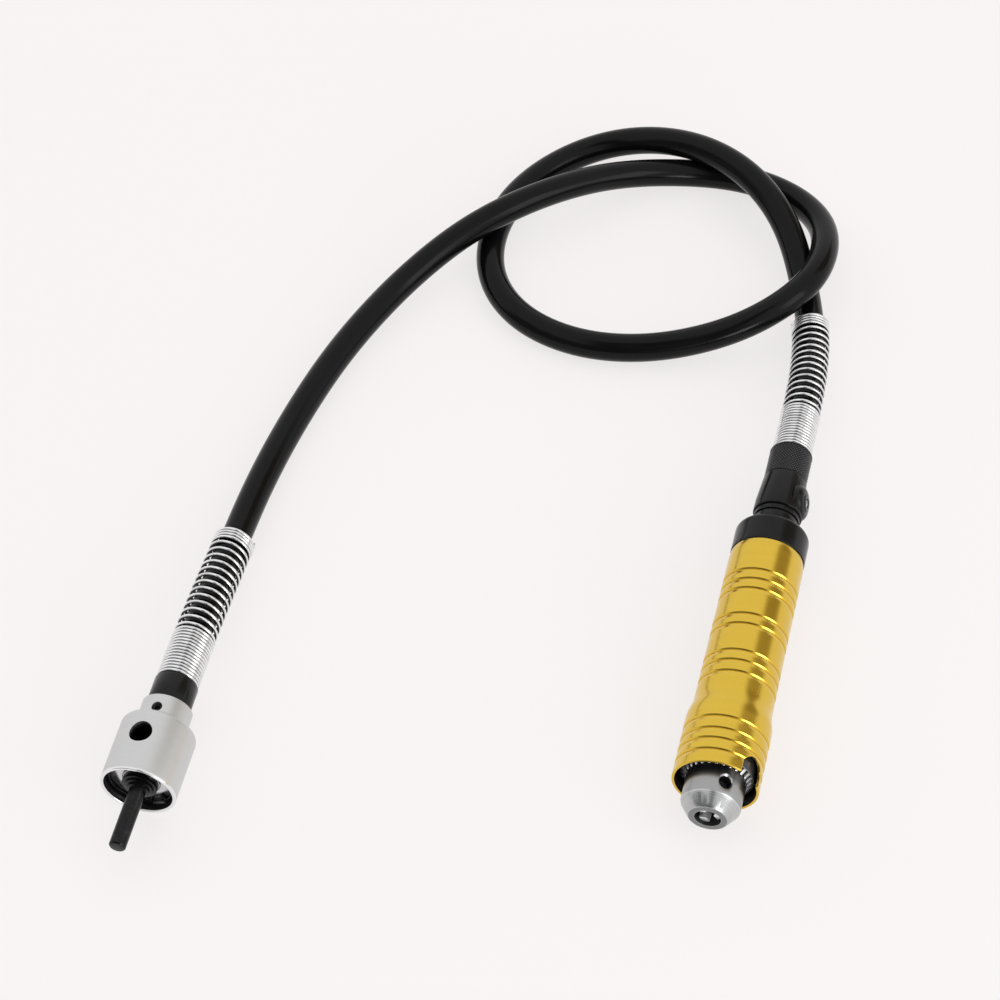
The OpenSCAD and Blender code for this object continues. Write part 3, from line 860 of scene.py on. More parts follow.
# Each slot's kind of finish with its settings. Most zones are painted light and shade:
# near-black on insides, between the sleeve's teeth and on bands under the shell in place of
# their shade, and a painted highlight on one edge of the chuck; the cup's lip and the chuck's
# nose face are bands of another tone.
FINISHES: dict[str, tuple[type[Finish], dict[str, Any]]] = {
    "gold_anodised": (TurnedMetal, dict(
        colour=(0.75, 0.51, 0.06), shade=(0.71, 0.475, 0.052), roughness=0.22, spread=0.05,
        lines_per_mm=2.6, line_depth=0.0022, scratch=0.3, coat=0.2,
        # Painted shade: the inside of the flared front is near-black and not metallic, in
        # place of the shade within the shell.
        zones=(Zone((11.0, 15.6), (0.012, 0.008, 0.006), (-80.75, -59.1), 0.0, 0.45),),
    )),
    "black_gloss": (Moulding, {}),
    "black_knurl": (Moulding, dict(rubbed_radii=(8.61, 8.67))),
    "black_steel": (BlackSteel, {}),
    "bright_steel": (TurnedMetal, dict(
        colour=(0.7, 0.7, 0.71), shade=(0.55, 0.55, 0.56), roughness=0.22,
    )),
    "spring_wire": (Wire, {}),
    "hose_rubber": (Rubber, {}),
    "satin_nickel": (TurnedMetal, dict(
        colour=(0.66, 0.663, 0.667), shade=(0.62, 0.623, 0.627), roughness=0.42, spread=0.08,
        lines_per_mm=2.8, line_depth=0.004,
        zones=(
            Zone((13.3, 14.8), (0.82, 0.82, 0.83), (-132.3, -131.1), 1.0, 0.16),
            # Painted shade: the inside of the cup, from its mouth back to the shoulder, is
            # near-black, in place of its shade.
            Zone((0.0, 13.32), (0.012, 0.012, 0.013), (-131.6, -106.0), 0.2, 0.4),
        ),
    )),
    "bearing_steel": (TurnedMetal, dict(
        colour=(0.58, 0.58, 0.6), shade=(0.45, 0.45, 0.47), roughness=0.22,
        # Painted shade: the outer race is near-black and barely metallic, in place of the
        # shade inside the cup's mouth.
        zones=(Zone((9.1, 14.0), (0.012, 0.012, 0.013), (-128.5, -110.0), 0.2, 0.35),),
    )),
    "bronze_bush": (TurnedMetal, dict(
        colour=(0.5, 0.3, 0.12), shade=(0.35, 0.2, 0.08), roughness=0.42,
    )),
    "chuck_steel": (TurnedMetal, dict(
        colour=(0.56, 0.57, 0.57), shade=(0.44, 0.45, 0.45), roughness=0.28, spread=0.16,
        lines_per_mm=1.9, line_depth=0.01,
        zones=(
            # Painted shade: the barrel's cylinder is darker than its cone, for the shade under
            # the shell's rim.
            Zone((11.3, 11.7), (0.38, 0.382, 0.384), (-90.0, -60.0)),
            # Painted shade: the cylinder darkens further towards the sleeve, fading in over
            # 1.6 mm.
            Zone((11.3, 11.7), (0.15, 0.15, 0.15), (-83.0, -60.0), 1.0, 0.36, 1.6),
            Zone((5.2, 7.3), (0.25, 0.255, 0.26), (-95.7, -95.3), 1.0, 0.42),
            # Painted highlight: a thin bright line on the edge between the cylinder and the
            # cone.
            Zone((11.0, 11.6), (0.6, 0.6, 0.61), (-90.25, -89.9)),
            # Painted shade: the barrel's inside behind the nose is near-black and barely
            # metallic.
            Zone((5.2, 10.6), (0.008, 0.008, 0.008), (-88.2, -80.8), 0.1, 0.5),
            # Painted shade: the bore is near-black, for the dark hole in the nose.
            Zone((0.0, 5.12), (0.01, 0.01, 0.01), (-95.2, -60.0), 0.1, 0.5),
        ),
    )),
    "sleeve_steel": (TurnedMetal, dict(
        colour=(0.36, 0.36, 0.37), shade=(0.22, 0.22, 0.23), roughness=0.34, spread=0.16,
        zones=(
            # Painted shade: the face between the teeth is near-black, in place of its shade.
            Zone((11.4, 13.64), (0.012, 0.012, 0.013), (-78.7, -74.7), 0.3, 0.45),
            # Painted shade: the outer band is darker and less metallic, for the shade inside
            # the shell.
            Zone((13.9, 14.1), (0.07, 0.07, 0.078), (-77.0, -60.0), 0.6),
        ),
    )),
    "jaw_steel": (TurnedMetal, dict(
        colour=(0.85, 0.85, 0.86), shade=(0.7, 0.7, 0.71), metallic=0.6, roughness=0.26,
    )),
}


class FinishBook:
    """Builds each finish once and hands it out by the record's slot."""

    def __init__(self) -> None:
        """Starts with no material made."""
        self._made: dict[tuple[str, Axis], bpy.types.Material] = {}

    def get(self, slot: str, axis: Axis = Axis.HAND) -> bpy.types.Material:
        """Hands out a finish.

        Args:
            slot: The record's material slot.
            axis: The axis that the part is turned on.

        Returns:
            The material, built at the first call.
        """
        key = (slot, axis)
        if key not in self._made:
            kind, settings = FINISHES[slot]
            self._made[key] = kind(slot, axis, **settings).material()
        return self._made[key]

    def fit(
        self, piece: bpy.types.Object, body: str, slot: str, node: str, axis: Axis = Axis.HAND
    ) -> bpy.types.Object:
        """Dresses a piece in the finish of its slot and places it for its CAD node."""
        dress(piece, self.get(slot, axis))
        return place(piece, body, slot, node)

    def copy(
        self, node: str, name: str, body: str, slot: str, width: float, axis: Axis = Axis.HAND
    ) -> bpy.types.Object:
        """Fits a piece with a CAD node's shape, joined up and with its edges eased.

        Args:
            node: The CAD node, which is left alone.
            name: The piece's name.
            body: The body that it moves with.
            slot: The record's material slot of its finish.
            width: Width of the eased edges.
            axis: The axis that the part is turned on.

        Returns:
            The piece.
        """
        form = bmesh.new()
        form.from_mesh(frame["nodes"][node].data)
        bmesh.ops.remove_doubles(form, verts=form.verts, dist=WELD_M)
        bmesh.ops.dissolve_limit(
            form, angle_limit=FLAT_TURN, verts=form.verts, edges=form.edges
        )
        return self.fit(eased(piece_from(name, form), width), body, slot, node, axis)


# ------------------------------------------------------------------ swept forms


def tube_form() -> Form:
    """Builds the tree that sweeps a round section along a line.

    Returns:
        The tree, with the inputs Radius and Sides.
    """
    form = Form("swept tube")
    (radius,), (sides,) = form.sizes("Radius"), form.counts("Sides")
    line = form.socket("GeometryNodeMeshToCurve", None, {0: form.entry.outputs[0]})
    ring = form.socket(
        "GeometryNodeCurvePrimitiveCircle", None, {"Resolution": sides, "Radius": radius}
    )
    reach = form.node("GeometryNodeSplineParameter")
    line, ring = (
        form.socket(
            "GeometryNodeStoreNamedAttribute",
            {"data_type": "FLOAT", "domain": "POINT"},
            {"Geometry": curve, "Name": name, "Value": reach.outputs[measure]},
        )
        for curve, name, measure in ((line, "along", "Length"), (ring, "around", "Factor"))
    )
    curves = {"Curve": line, "Profile Curve": ring, "Fill Caps": True}
    return form.close(form.socket("GeometryNodeCurveToMesh", None, curves))


def sweep(
    name: str,
    points: Sequence[Vector],
    radius: float,
    sides: int,
    finish: bpy.types.Material,
) -> bpy.types.Object:
    """Sweeps a tube along points.

    Args:
        name: The piece's name.
        points: The centreline.
        radius: The tube's radius.
        sides: Faces around.
        finish: Its material.

    Returns:
        A closed smooth tube with its faces outwards.
    """
    made = tube_form().make(line_mesh(name, points), finish, Radius=radius * MM, Sides=sides)
    form = bmesh.new()
    form.from_mesh(made.data)
    bmesh.ops.recalc_face_normals(form, faces=form.faces)
    form.to_mesh(made.data)
    form.free()
    smooth(made, 60)
    return made


@dataclass
class HoseRoute:
    """The smooth line of the hose, a cubic B-spline from the drive end to the handpiece."""

    guard_step: float = 25.0
    drive_end: Sequence[tuple[float, float, float]] = (
        (-105.25, -82.7, 14.75), (-105.25, -57.7, 14.5), (-105, -32.7, 12),
        (-105, -7.7, 8.5), (-104.5, 17.3, 7),
    )
    middle: Sequence[tuple[float, float, float]] = (
        (-102, 45, 6), (-97.5, 72, 6), (-91.5, 98, 6.5), (-82, 125, 7.5), (-70, 148.5, 10.5),
        (-54, 169, 16.5), (-35.5, 186.5, 20), (-15.5, 206.5, 17), (4, 223, 11),
        (27.5, 234.5, 6), (54, 238, 6), (78.5, 231, 7), (95, 213, 12), (99, 188.5, 19.5),
        (94.5, 165.5, 22), (76, 147, 16), (54.5, 137.5, 9), (31, 129.5, 6), (4, 126, 6),
        (-22.5, 134, 6), (-40, 153, 6), (-45.5, 178, 6), (-41, 205, 6), (-25, 229, 7),
        (-3, 242.5, 10.5), (21, 244, 15.5), (44, 236.5, 19.5), (64.5, 223, 19.5),
        (81, 205, 14), (91.5, 181.5, 8),
    )
    hand_end: Sequence[tuple[float, float, float]] = (
        (99.5, 155.5, 7.5), (102.5, 130.5, 11.5), (103.4, 105.5, 16), (103.4, 80.5, 16.6),
    )
    look: float = 0.02
    controls: list[Vector] = field(init=False)

    def __post_init__(self) -> None:
        """Joins the three stretches."""
        self.controls = [Vector(p) for p in (*self.drive_end, *self.middle, *self.hand_end)]

    @property
    def last(self) -> int:
        """Parameter at the handpiece end."""
        return len(self.controls) - 1

    def _control(self, i: int) -> Vector:
        """Finds a control point.

        Args:
            i: Its number, which may be one beyond either end.

        Returns:
            The point, mirrored beyond the ends.
        """
        points = self.controls
        if i < 0:
            return 2 * points[0] - points[1]
        if i > self.last:
            return 2 * points[-1] - points[-2]
        return points[i]

    def point(self, t: float) -> Vector:
        """Finds the centre of the hose.

        Args:
            t: Parameter, one unit for each control point.

        Returns:
            The point, in millimetres.
        """
        i = min(int(t), self.last - 1)
        u = t - i
        return (
            self._control(i - 1) * (1 - u) ** 3
            + self._control(i) * (3 * u**3 - 6 * u * u + 4)
            + self._control(i + 1) * (-3 * u**3 + 3 * u * u + 3 * u + 1)
            + self._control(i + 2) * u**3
        ) / 6

    def cross(self, t: float) -> tuple[Vector, Vector]:
        """Finds the directions across the hose.

        Args:
            t: Parameter, one unit for each control point.

        Returns:
            The level direction and the upward one.
        """
        before, after = max(t - self.look, 0), min(t + self.look, self.last)
        heading = (self.point(after) - self.point(before)).normalized()
        level = heading.cross(Vector((0, 0, 1))).normalized()
        return level, level.cross(heading)

    def line(self, per_step: int) -> list[Vector]:
        """Samples the whole centreline, with a number of points for each control point."""
        return [self.point(i / per_step) for i in range(self.last * per_step + 1)]


@dataclass
class Hose:
    """The rubber hose, a free length between the two ferrules."""

    route: HoseRoute
    book: FinishBook
    radius: float = 6.0
    sides: int = 40
    points_per_step: int = 8
    real_length_m: float = 0.978

    def build(self) -> bpy.types.Object:
        """Returns:
            The hose.
        """
        line = self.route.line(self.points_per_step)
        finish = self.book.get("hose_rubber")
        made = sweep("rubber_hose", line, self.radius, self.sides, finish)
        place(made, "root", "hose_rubber", "hose")
        return made


class GuardEnd(Enum):
    """Which end of the hose a spring guard sits on."""

    DRIVE = "drive"
    HAND = "handpiece"


@dataclass
class SpringGuard:
    """A wound wire guard: tight coils at the ferrule, open ones, then tight ones again."""

    route: HoseRoute
    book: FinishBook
    end: GuardEnd
    coil_r: float
    open_pitch: float
    wire_r: float = 0.69
    wire_sides: int = 14
    tight_pitch: float = 1.44
    tight_coils: int = 15
    open_coils: int = 13
    end_coils: int = 4
    blend_coils: float = 0.6
    points_per_coil: int = 28

    def _travel(self, turn: float) -> float:
        """Finds how far along the guard a coil is.

        Args:
            turn: Coils from the ferrule.

        Returns:
            Distance along the hose.
        """
        distance = self.wire_r + self.tight_pitch * turn
        extra, blend = self.open_pitch - self.tight_pitch, self.blend_coils
        for edge, sign in ((self.tight_coils, 1), (self.tight_coils + self.open_coils, -1)):
            past = turn - edge
            if past >= blend:
                distance += sign * extra * past
            elif past > -blend:
                distance += sign * extra * (past + blend) ** 2 / (4 * blend)
        return distance

    def _turns(self) -> list[float]:
        """Lists the coils from the ferrule at each point of the wire."""
        coils = self.tight_coils + self.open_coils + self.end_coils
        return [i / self.points_per_coil for i in range(coils * self.points_per_coil + 1)]

    def _route_t(self, turn: float) -> float:
        """Parameter of the hose's route at a number of coils from the ferrule."""
        t = self._travel(turn) / self.route.guard_step
        return self.route.last - t if self.end is GuardEnd.HAND else t

    def _hose_point(self, turn: float) -> Vector:
        """Centre of the hose at a number of coils from the ferrule."""
        return self.route.point(self._route_t(turn))

    def _wire_point(self, turn: float) -> Vector:
        """Finds the centre of the wire.

        Args:
            turn: Coils from the ferrule.

        Returns:
            The point, in millimetres.
        """
        level, up = self.route.cross(self._route_t(turn))
        angle = 2 * math.pi * turn
        out = math.cos(angle) * level + math.sin(angle) * up
        return self._hose_point(turn) + self.coil_r * out

    def build(self) -> bpy.types.Object:
        """Winds the guard.

        Returns:
            The spring.
        """
        wire = [self._wire_point(turn) for turn in self._turns()]
        finish = self.book.get("spring_wire")
        name = f"{self.end.value}_spring_guard"
        made = sweep(name, wire, self.wire_r, self.wire_sides, finish)
        self._mark_outward(made)
        return place(made, "root", "spring_wire", f"{self.end.value}_spring")

    def _mark_outward(self, made: bpy.types.Object) -> None:
        """Stores how far each point of the wire faces away from the hose, from -1 to 1.

        Args:
            made: The swept wire, with one ring of points for each point of its centreline.
        """
        hose = [self._hose_point(turn) for turn in self._turns()]
        sides = len(made.data.vertices) // len(hose)
        marks = made.data.attributes.new("outward", "FLOAT", "POINT")
        for i, vertex in enumerate(made.data.vertices):
            away = (vertex.co / MM - hose[min(i // sides, len(hose) - 1)]).length
            marks.data[i].value = (away - self.coil_r) / self.wire_r


def ring_form() -> Form:
    """Builds the tree that repeats a shape around a line along Y.

    Returns:
        The tree, with the inputs Count, Across and Height.
    """
    form = Form("repeated around")
    (count,), (across, height) = form.counts("Count"), form.sizes("Across", "Height")
    centre = form.socket("ShaderNodeCombineXYZ", None, {0: across, 1: 0.0, 2: height})
    back = form.socket(
        "ShaderNodeVectorMath", {"operation": "SCALE"}, {0: centre, "Scale": -1.0}
    )
    shape = form.socket(
        "GeometryNodeTransform",
        None,
        {"Geometry": form.entry.outputs[0], "Translation": back},
    )
    spots = form.socket("GeometryNodePoints", None, {"Count": count, "Position": centre})
    turn = form.value("GeometryNodeInputIndex") * 2 * math.pi / count
    facing = form.socket("ShaderNodeCombineXYZ", None, {0: 0.0, 1: turn, 2: 0.0})
    spread = {"Points": spots, "Instance": shape, "Rotation": facing}
    return form.close(form.socket("GeometryNodeInstanceOnPoints", None, spread))


def knurl_form() -> Form:
    """Builds the tree that sets small pyramids in staggered rows round a line along Y.

    Returns:
        The tree, with inputs for the pyramids' size and for where their rows run.
    """
    form = Form("diamond knurl")
    count, rows = form.counts("Around", "Rows")
    radius, length, start = form.sizes("Radius", "Length", "Start")
    base, height = form.sizes("Base", "Height")
    across, up = form.sizes("Axis Across", "Axis Height")
    index = form.value("GeometryNodeInputIndex")
    row = (index / count).floor()
    angle = (index - row * count + (row % 2.0) * 0.5) * 2 * math.pi / count
    station = start + length * (row + 0.5) / rows
    position, direction = (
        form.socket("ShaderNodeCombineXYZ", None, dict(enumerate(parts)))
        for parts in (
            (across + radius * angle.cosine(), station, up + radius * angle.sine()),
            (angle.cosine(), 0.0, angle.sine()),
        )
    )
    spots = form.socket("GeometryNodePoints", None, {"Count": count * rows})
    moved = form.socket(
        "GeometryNodeSetPosition", None, {"Geometry": spots, "Position": position}
    )
    cone = form.socket(
        "GeometryNodeMeshCone",
        {"fill_type": "NONE"},
        {"Vertices": 4, "Radius Top": 0.0, "Radius Bottom": base, "Depth": height},
    )
    facing = form.socket(
        "FunctionNodeAlignRotationToVector",
        {"axis": "Z", "pivot_axis": "AUTO"},
        {"Vector": direction},
    )
    spread = {"Points": moved, "Instance": cone, "Rotation": facing}
    return form.close(form.socket("GeometryNodeInstanceOnPoints", None, spread))


# ------------------------------------------------------------------ handpiece


@dataclass
class Handle:
    """The anodised shell: a flared front with a key notch, and finger grooves in groups."""

    book: FinishBook
    front_y: float = -80.9
    rear_y: float = 26.3
    flare_r: float = 16.6
    grip_front_r: float = 15.15
    grip_rear_r: float = 14.75
    flare_end: float = 26.2
    grip_start: float = 35.2
    rim: float = 0.35
    chamber_r: float = 15.5
    bore_r: float = 11.0
    spindle_hole_r: float = 6.6
    bulkhead_y: float = -59.2
    seat_y: float = -57.4
    station_step: float = 1.5
    groove_front: float = 2.0
    groove_floor: float = 0.3
    groove_rear: float = 0.42
    groove_depth: float = 0.5
    grooves: Sequence[float] = (
        5.6, 10.6, 15.1, 20.6, 42.5, 47.7, 52.4, 65, 69.8, 82.1, 86.7, 91.4,
    )
    notch_angle: float = 37.5
    notch_w: float = 11.0
    notch_depth: float = 8.9
    notch_reach: tuple[float, float] = (12.0, 20.0)

    def _plain_r(self, y: float) -> float:
        """Finds the radius of the outside without its grooves.

        Args:
            y: Distance from the front.

        Returns:
            The radius.
        """
        if y <= self.flare_end:
            return self.flare_r
        if y >= self.grip_start:
            share = (y - self.grip_start) / (self.rear_y - self.front_y - self.grip_start)
            return self.grip_front_r + share * (self.grip_rear_r - self.grip_front_r)
        t = (y - self.flare_end) / (self.grip_start - self.flare_end)
        return self.flare_r - (self.flare_r - self.grip_front_r) * t * t * (3 - 2 * t)

    def _dip(self, station: float) -> float:
        """Finds how deep the outside dips, with a gentle front and a steep rear wall.

        Args:
            station: Distance from the front.

        Returns:
            Depth of the nearest groove.
        """
        floor = min(self.grooves, key=lambda g: abs(g - station)) + self.groove_floor
        run = self.groove_front if station < floor else self.groove_rear
        return self.groove_depth * max(0.0, 1 - abs(station - floor) / run)

    def _outside(self) -> Profile:
        """Draws the outside with its grooves.

        Returns:
            The profile from just behind the rim to just before the rear.
        """
        count = int((self.rear_y - self.front_y - 1.6) / self.station_step)
        stations = {round(0.9 + i * self.station_step, 2) for i in range(count)}
        for g in self.grooves:
            floor = g + self.groove_floor
            front, rear = floor - self.groove_front, floor + self.groove_rear
            stations = {s for s in stations if not front - 0.2 < s < rear + 0.2}
            walls = (front - 0.1, front, front + 0.1, floor, rear, rear + 0.05)
            stations |= {round(s, 3) for s in walls}
        return [(self._plain_r(s) - self._dip(s), self.front_y + s) for s in sorted(stations)]

    def _slot(self, floor_y: float) -> bpy.types.Object:
        """Makes the straight part of the notch cutter.

        Args:
            floor_y: Station of its rear end; its front end is ahead of the rim.

        Returns:
            A closed block.
        """
        form = bmesh.new()
        bmesh.ops.create_cube(form, size=1.0)
        near, far = self.notch_reach
        long = floor_y - self.front_y + 2
        form.transform(Matrix.Diagonal((self.notch_w * MM, long * MM, (far - near) * MM, 1)))
        turn = Matrix.Rotation(math.radians(90 - self.notch_angle), 4, "Y")
        middle = Axis.HAND.point((near + far) / 2, self.notch_angle, floor_y - long / 2) * MM
        form.transform(Matrix.Translation(middle) @ turn)
        return piece_from("notch_slot", form)

    def _notch(self) -> bpy.types.Object:
        """Makes the notch cutter.

        Returns:
            The straight part with a round floor.
        """
        half = self.notch_w / 2
        floor_y = self.front_y + self.notch_depth - half
        made = radial_pin(
            "notch_floor", Axis.HAND, self.notch_angle, floor_y, half, *self.notch_reach
        )
        return cut(made, [self._slot(floor_y)], "UNION")

    def build(self) -> bpy.types.Object:
        """Turns the shell and cuts its key notch.

        Returns:
            The shell.
        """
        front = stairs(
            self.chamber_r, self.bulkhead_y, self.front_y, self.flare_r, self.front_y + 0.8
        )
        inside = stairs(
            self.bore_r, self.rear_y, self.seat_y, self.spindle_hole_r, self.bulkhead_y
        )
        profile = [
            *rounded(front, self.rim, closed=False), *self._outside(),
            (self.grip_rear_r - 0.25, self.rear_y), *inside,
        ]
        shell = cut(turned("grip_shell", Axis.HAND, profile, 192), [self._notch()])
        eased(shell, 0.16, 2, 65)
        return self.book.fit(shell, "root", "gold_anodised", "handle_shell")


def end_round(radius: float, station: float, fillet: float, steps: int = 10) -> Profile:
    """Draws the quarter round between an outside and an end face.

    Args:
        radius: Radius of the outside.
        station: Station of the end face.
        fillet: Radius of the rounding.
        steps: Faces across it.

    Returns:
        The profile from the outside to the end face.
    """
    angles = [math.pi / 2 * k / steps for k in range(steps + 1)]
    return [
        (radius - fillet + fillet * math.cos(a), station - fillet + fillet * math.sin(a))
        for a in angles
    ]


@dataclass
class RearEnd:
    """The black parts behind the shell: collar, spigot, coupling sleeve and ferrule."""

    book: FinishBook
    collar_in_y: float = 13.3
    shell_rear: float = 26.3
    collar_rear: float = 39.5
    coupler: float = 48.3
    ferrule: float = 66.1
    hose_end: float = 80.5
    collar_r: float = 14.75
    collar_bore_r: float = 6.0
    collar_plug_r: float = 10.96
    thread_r: float = 7.05
    thread_len: float = 10.5
    sleeve_r: float = 9.85
    lip_r: float = 8.75
    inner_r: float = 7.95
    taper: float = 12.5
    screw_angle: float = 15.0
    screw_y: float = 55.5
    screw_r: float = 2.0
    swell_radii: tuple[float, float] = (7.6, 3.8)
    swell_reach: tuple[float, float] = (7.0, 11.1)
    swell_steps: int = 16

    def _collar(self) -> bpy.types.Object:
        """Turns the collar.

        Returns:
            The collar, rounded at its rear.
        """
        shoulder = self.shell_rear
        plug = stairs(
            self.collar_plug_r, self.collar_in_y, shoulder, self.collar_r, shoulder + 1.7
        )
        front = [(self.collar_bore_r, self.collar_in_y), *plug]
        thread = self.collar_rear - self.thread_len
        rear = stairs(self.thread_r, self.collar_rear, thread, self.collar_bore_r)
        rounding = end_round(self.collar_r, self.collar_rear, 3)
        profile = [*rounded(front, 0.3, closed=False), *rounding, *rear]
        made = turned("end_collar", Axis.HAND, profile, 160)
        return self.book.fit(made, "root", "black_gloss", "rear_collar")

    def _swelling(self) -> bpy.types.Object:
        """Makes the swelling that carries the screw.

        Returns:
            A closed bell.
        """
        (foot, top), (inner, outer) = self.swell_radii, self.swell_reach
        profile = []
        for i in range(self.swell_steps + 1):
            t = i / self.swell_steps
            bell = top + (foot - top) * (1 - t * t) ** 0.5
            profile.append((bell, inner + (outer - 0.3 - inner) * t))
        profile += [(top - 0.12, outer - 0.1), (top - 0.45, outer)]
        return radial_form("swelling", Axis.HAND, self.screw_angle, self.screw_y, profile)

    def _sleeve(self) -> bpy.types.Object:
        """Turns the coupling sleeve, raises its swelling and drills it.

        Returns:
            The sleeve, open for the screw.
        """
        outside = [
            (0, self.coupler), *stairs(self.sleeve_r, self.coupler, self.ferrule - self.taper),
            (self.lip_r, self.ferrule), (0, self.ferrule),
        ]
        front, rear = self.coupler - 2, self.ferrule + 2
        inside = [(0, front), *stairs(self.inner_r, front, rear, 0)]
        profile = rounded(outside, 0.5, closed=False)
        made = turned("coupling_sleeve", Axis.HAND, profile, 128, closed=False)
        cut(made, [self._swelling()], "UNION")
        bore = turned("bore", Axis.HAND, inside, 128, closed=False)
        hole = radial_pin(
            "screw_hole", Axis.HAND, self.screw_angle, self.screw_y, self.screw_r, 7, 13
        )
        eased(cut(made, [bore, hole]), 0.25, 3, 40)
        return self.book.fit(made, "root", "black_gloss", "coupler_sleeve")

    def build(self) -> None:
        """Builds the four parts and the screw."""
        self._collar()
        self._sleeve()
        self.book.copy("rear_spigot", "swivel_spigot", "root", "black_steel", 0.08)
        self.book.copy("coupler_grub_screw", "coupling_screw", "root", "bright_steel", 0.08)
        KnurledFerrule(self.book, self.ferrule, self.hose_end).build()


@dataclass
class KnurledFerrule:
    """The clamp on the hose, with a diamond knurl between two plain bands."""

    book: FinishBook
    front: float
    rear: float
    hose_r: float = 3.2
    plug_r: float = 7.9
    plug_len: float = 4.5
    core_r: float = 8.42
    knurl_height: float = 0.28
    knurl_base: float = 0.76
    around: int = 42
    rows: int = 20
    band: float = 0.7

    def _diamonds(self) -> bpy.types.Object:
        """Makes the knurl from its tree.

        Returns:
            All the pyramids, as one piece.
        """
        seed = piece_of("knurl_diamonds", bpy.data.meshes.new("knurl_diamonds"))
        run = self.rear - self.front - 2 * self.band
        return knurl_form().make(
            seed, self.book.get("black_knurl"), Radius=self.core_r * MM, Around=self.around,
            Rows=self.rows, Length=run * MM, Start=(self.front + self.band) * MM,
            Base=self.knurl_base * MM, Height=self.knurl_height * MM,
            Axis_Height=Axis.HAND.z * MM, Axis_Across=Axis.HAND.x * MM,
        )

    def build(self) -> bpy.types.Object:
        """Turns the ferrule's core and sets the knurl on it.

        Returns:
            The knurl.
        """
        top, plug = self.core_r + self.knurl_height, self.front - self.plug_len
        knurl_front, knurl_rear = self.front + self.band, self.rear - self.band
        profile = [
            (self.hose_r, plug), *stairs(self.plug_r, plug, self.front, top, knurl_front),
            *stairs(self.core_r, knurl_front + 0.1, knurl_rear - 0.1), (top, knurl_rear),
            (top - 0.2, self.rear), (self.hose_r, self.rear),
        ]
        made = turned("hose_clamp", Axis.HAND, rounded(profile, 0.2), 128)
        self.book.fit(made, "root", "black_gloss", "knurled_ferrule")
        return place(self._diamonds(), "root", "black_gloss")


@dataclass
class ToothedSleeve:
    """The sleeve that the key turns: a ring with bright bevel teeth and a plain band, its face
    between the teeth and its band painted dark in place of their shade.
    """

    book: FinishBook
    nose_y: float = -95.4
    teeth: int = 27
    tooth_from: float = 11.56
    tooth_to: float = 13.35
    front: float = 16.85
    bevel_rise: float = 1.1
    tooth_h: float = 1.05
    tooth_w: tuple[float, float] = (1.12, 1.62)
    tooth_flare: tuple[float, float] = (0.92, 1.08)
    tooth_sunk: float = 0.3
    bore_r: float = 11.48
    ridge_radii: tuple[float, float, float] = (13.5, 13.62, 13.65)
    outer_r: float = 14.0
    step: tuple[float, float] = (18.5, 18.8)
    nut_r: float = 12.6
    nut: tuple[float, float] = (20.4, 24.4)
    back_r: float = 13.15
    rear: float = 33.0

    def _tooth(self) -> bpy.types.Object:
        """Makes the tooth on the right-hand side.

        Returns:
            The tooth, wider at its root and towards the outside.
        """
        form = bmesh.new()
        corners = []
        for radius, flare in zip((self.tooth_from, self.tooth_to), self.tooth_flare):
            face = self.nose_y + self.front + (radius - self.tooth_from) * self.bevel_rise
            for depth, width in zip((0.0, self.tooth_h + self.tooth_sunk), self.tooth_w):
                for side in (-0.5, 0.5):
                    x, z = Axis.HAND.x + radius, Axis.HAND.z + side * width * flare
                    corners.append(form.verts.new((x * MM, (face + depth) * MM, z * MM)))
        for face in (
            (0, 1, 3, 2), (4, 5, 7, 6), (0, 1, 5, 4), (2, 3, 7, 6), (0, 2, 6, 4), (1, 3, 7, 5),
        ):
            form.faces.new([corners[i] for i in face])
        bmesh.ops.recalc_face_normals(form, faces=form.faces)
        return eased(piece_from("sleeve_teeth", form), 0.14, 2, 30)

    def build(self) -> None:
        """Turns the ring and sets the teeth on it."""
        root = self.front + self.tooth_h
        ridge = root + (self.tooth_to - self.tooth_from) * self.bevel_rise
        # dark is the radius where the painted shade on the teeth's face ends, dark_end the
        # station where the painted shade on the band begins.
        (lip, shoulder, dark), (dark_end, band) = self.ridge_radii, self.step
        nut_front, nut_rear = self.nut
        back = stairs(
            self.outer_r, band, self.rear, self.back_r, nut_rear, self.nut_r, nut_front,
            self.bore_r,
        )
        profile = [
            (self.bore_r, root), (self.tooth_from, root), (self.tooth_to, ridge),
            (lip, ridge + 0.5), (shoulder, ridge + 0.5), (dark, dark_end), *back,
        ]
        placed = [(r, self.nose_y + station) for r, station in profile]
        ring = turned("toothed_sleeve", Axis.HAND, rounded(placed, 0.12), 160)
        self.book.fit(ring, "sleeve", "sleeve_steel", "chuck_sleeve")
        teeth = ring_form().make(
            self._tooth(), self.book.get("jaw_steel"), Count=self.teeth,
            Across=Axis.HAND.x * MM, Height=Axis.HAND.z * MM,
        )
        smooth(teeth, 30)
        place(teeth, "sleeve", "jaw_steel")


@dataclass
class Chuck:
    """The keyed chuck: body, toothed sleeve and jaws."""

    book: FinishBook

    def build(self) -> None:
        """Builds each visible part on its own body."""
        self.book.copy("chuck_body", "chuck_barrel", "chuck", "chuck_steel", 0.16)
        for number, letter in enumerate("abc", 1):
            jaw = f"jaw_{number}"
            self.book.copy(jaw, f"gripping_jaw_{letter}", jaw, "jaw_steel", 0.1)
        ToothedSleeve(self.book).build()


# ------------------------------------------------------------------ drive end


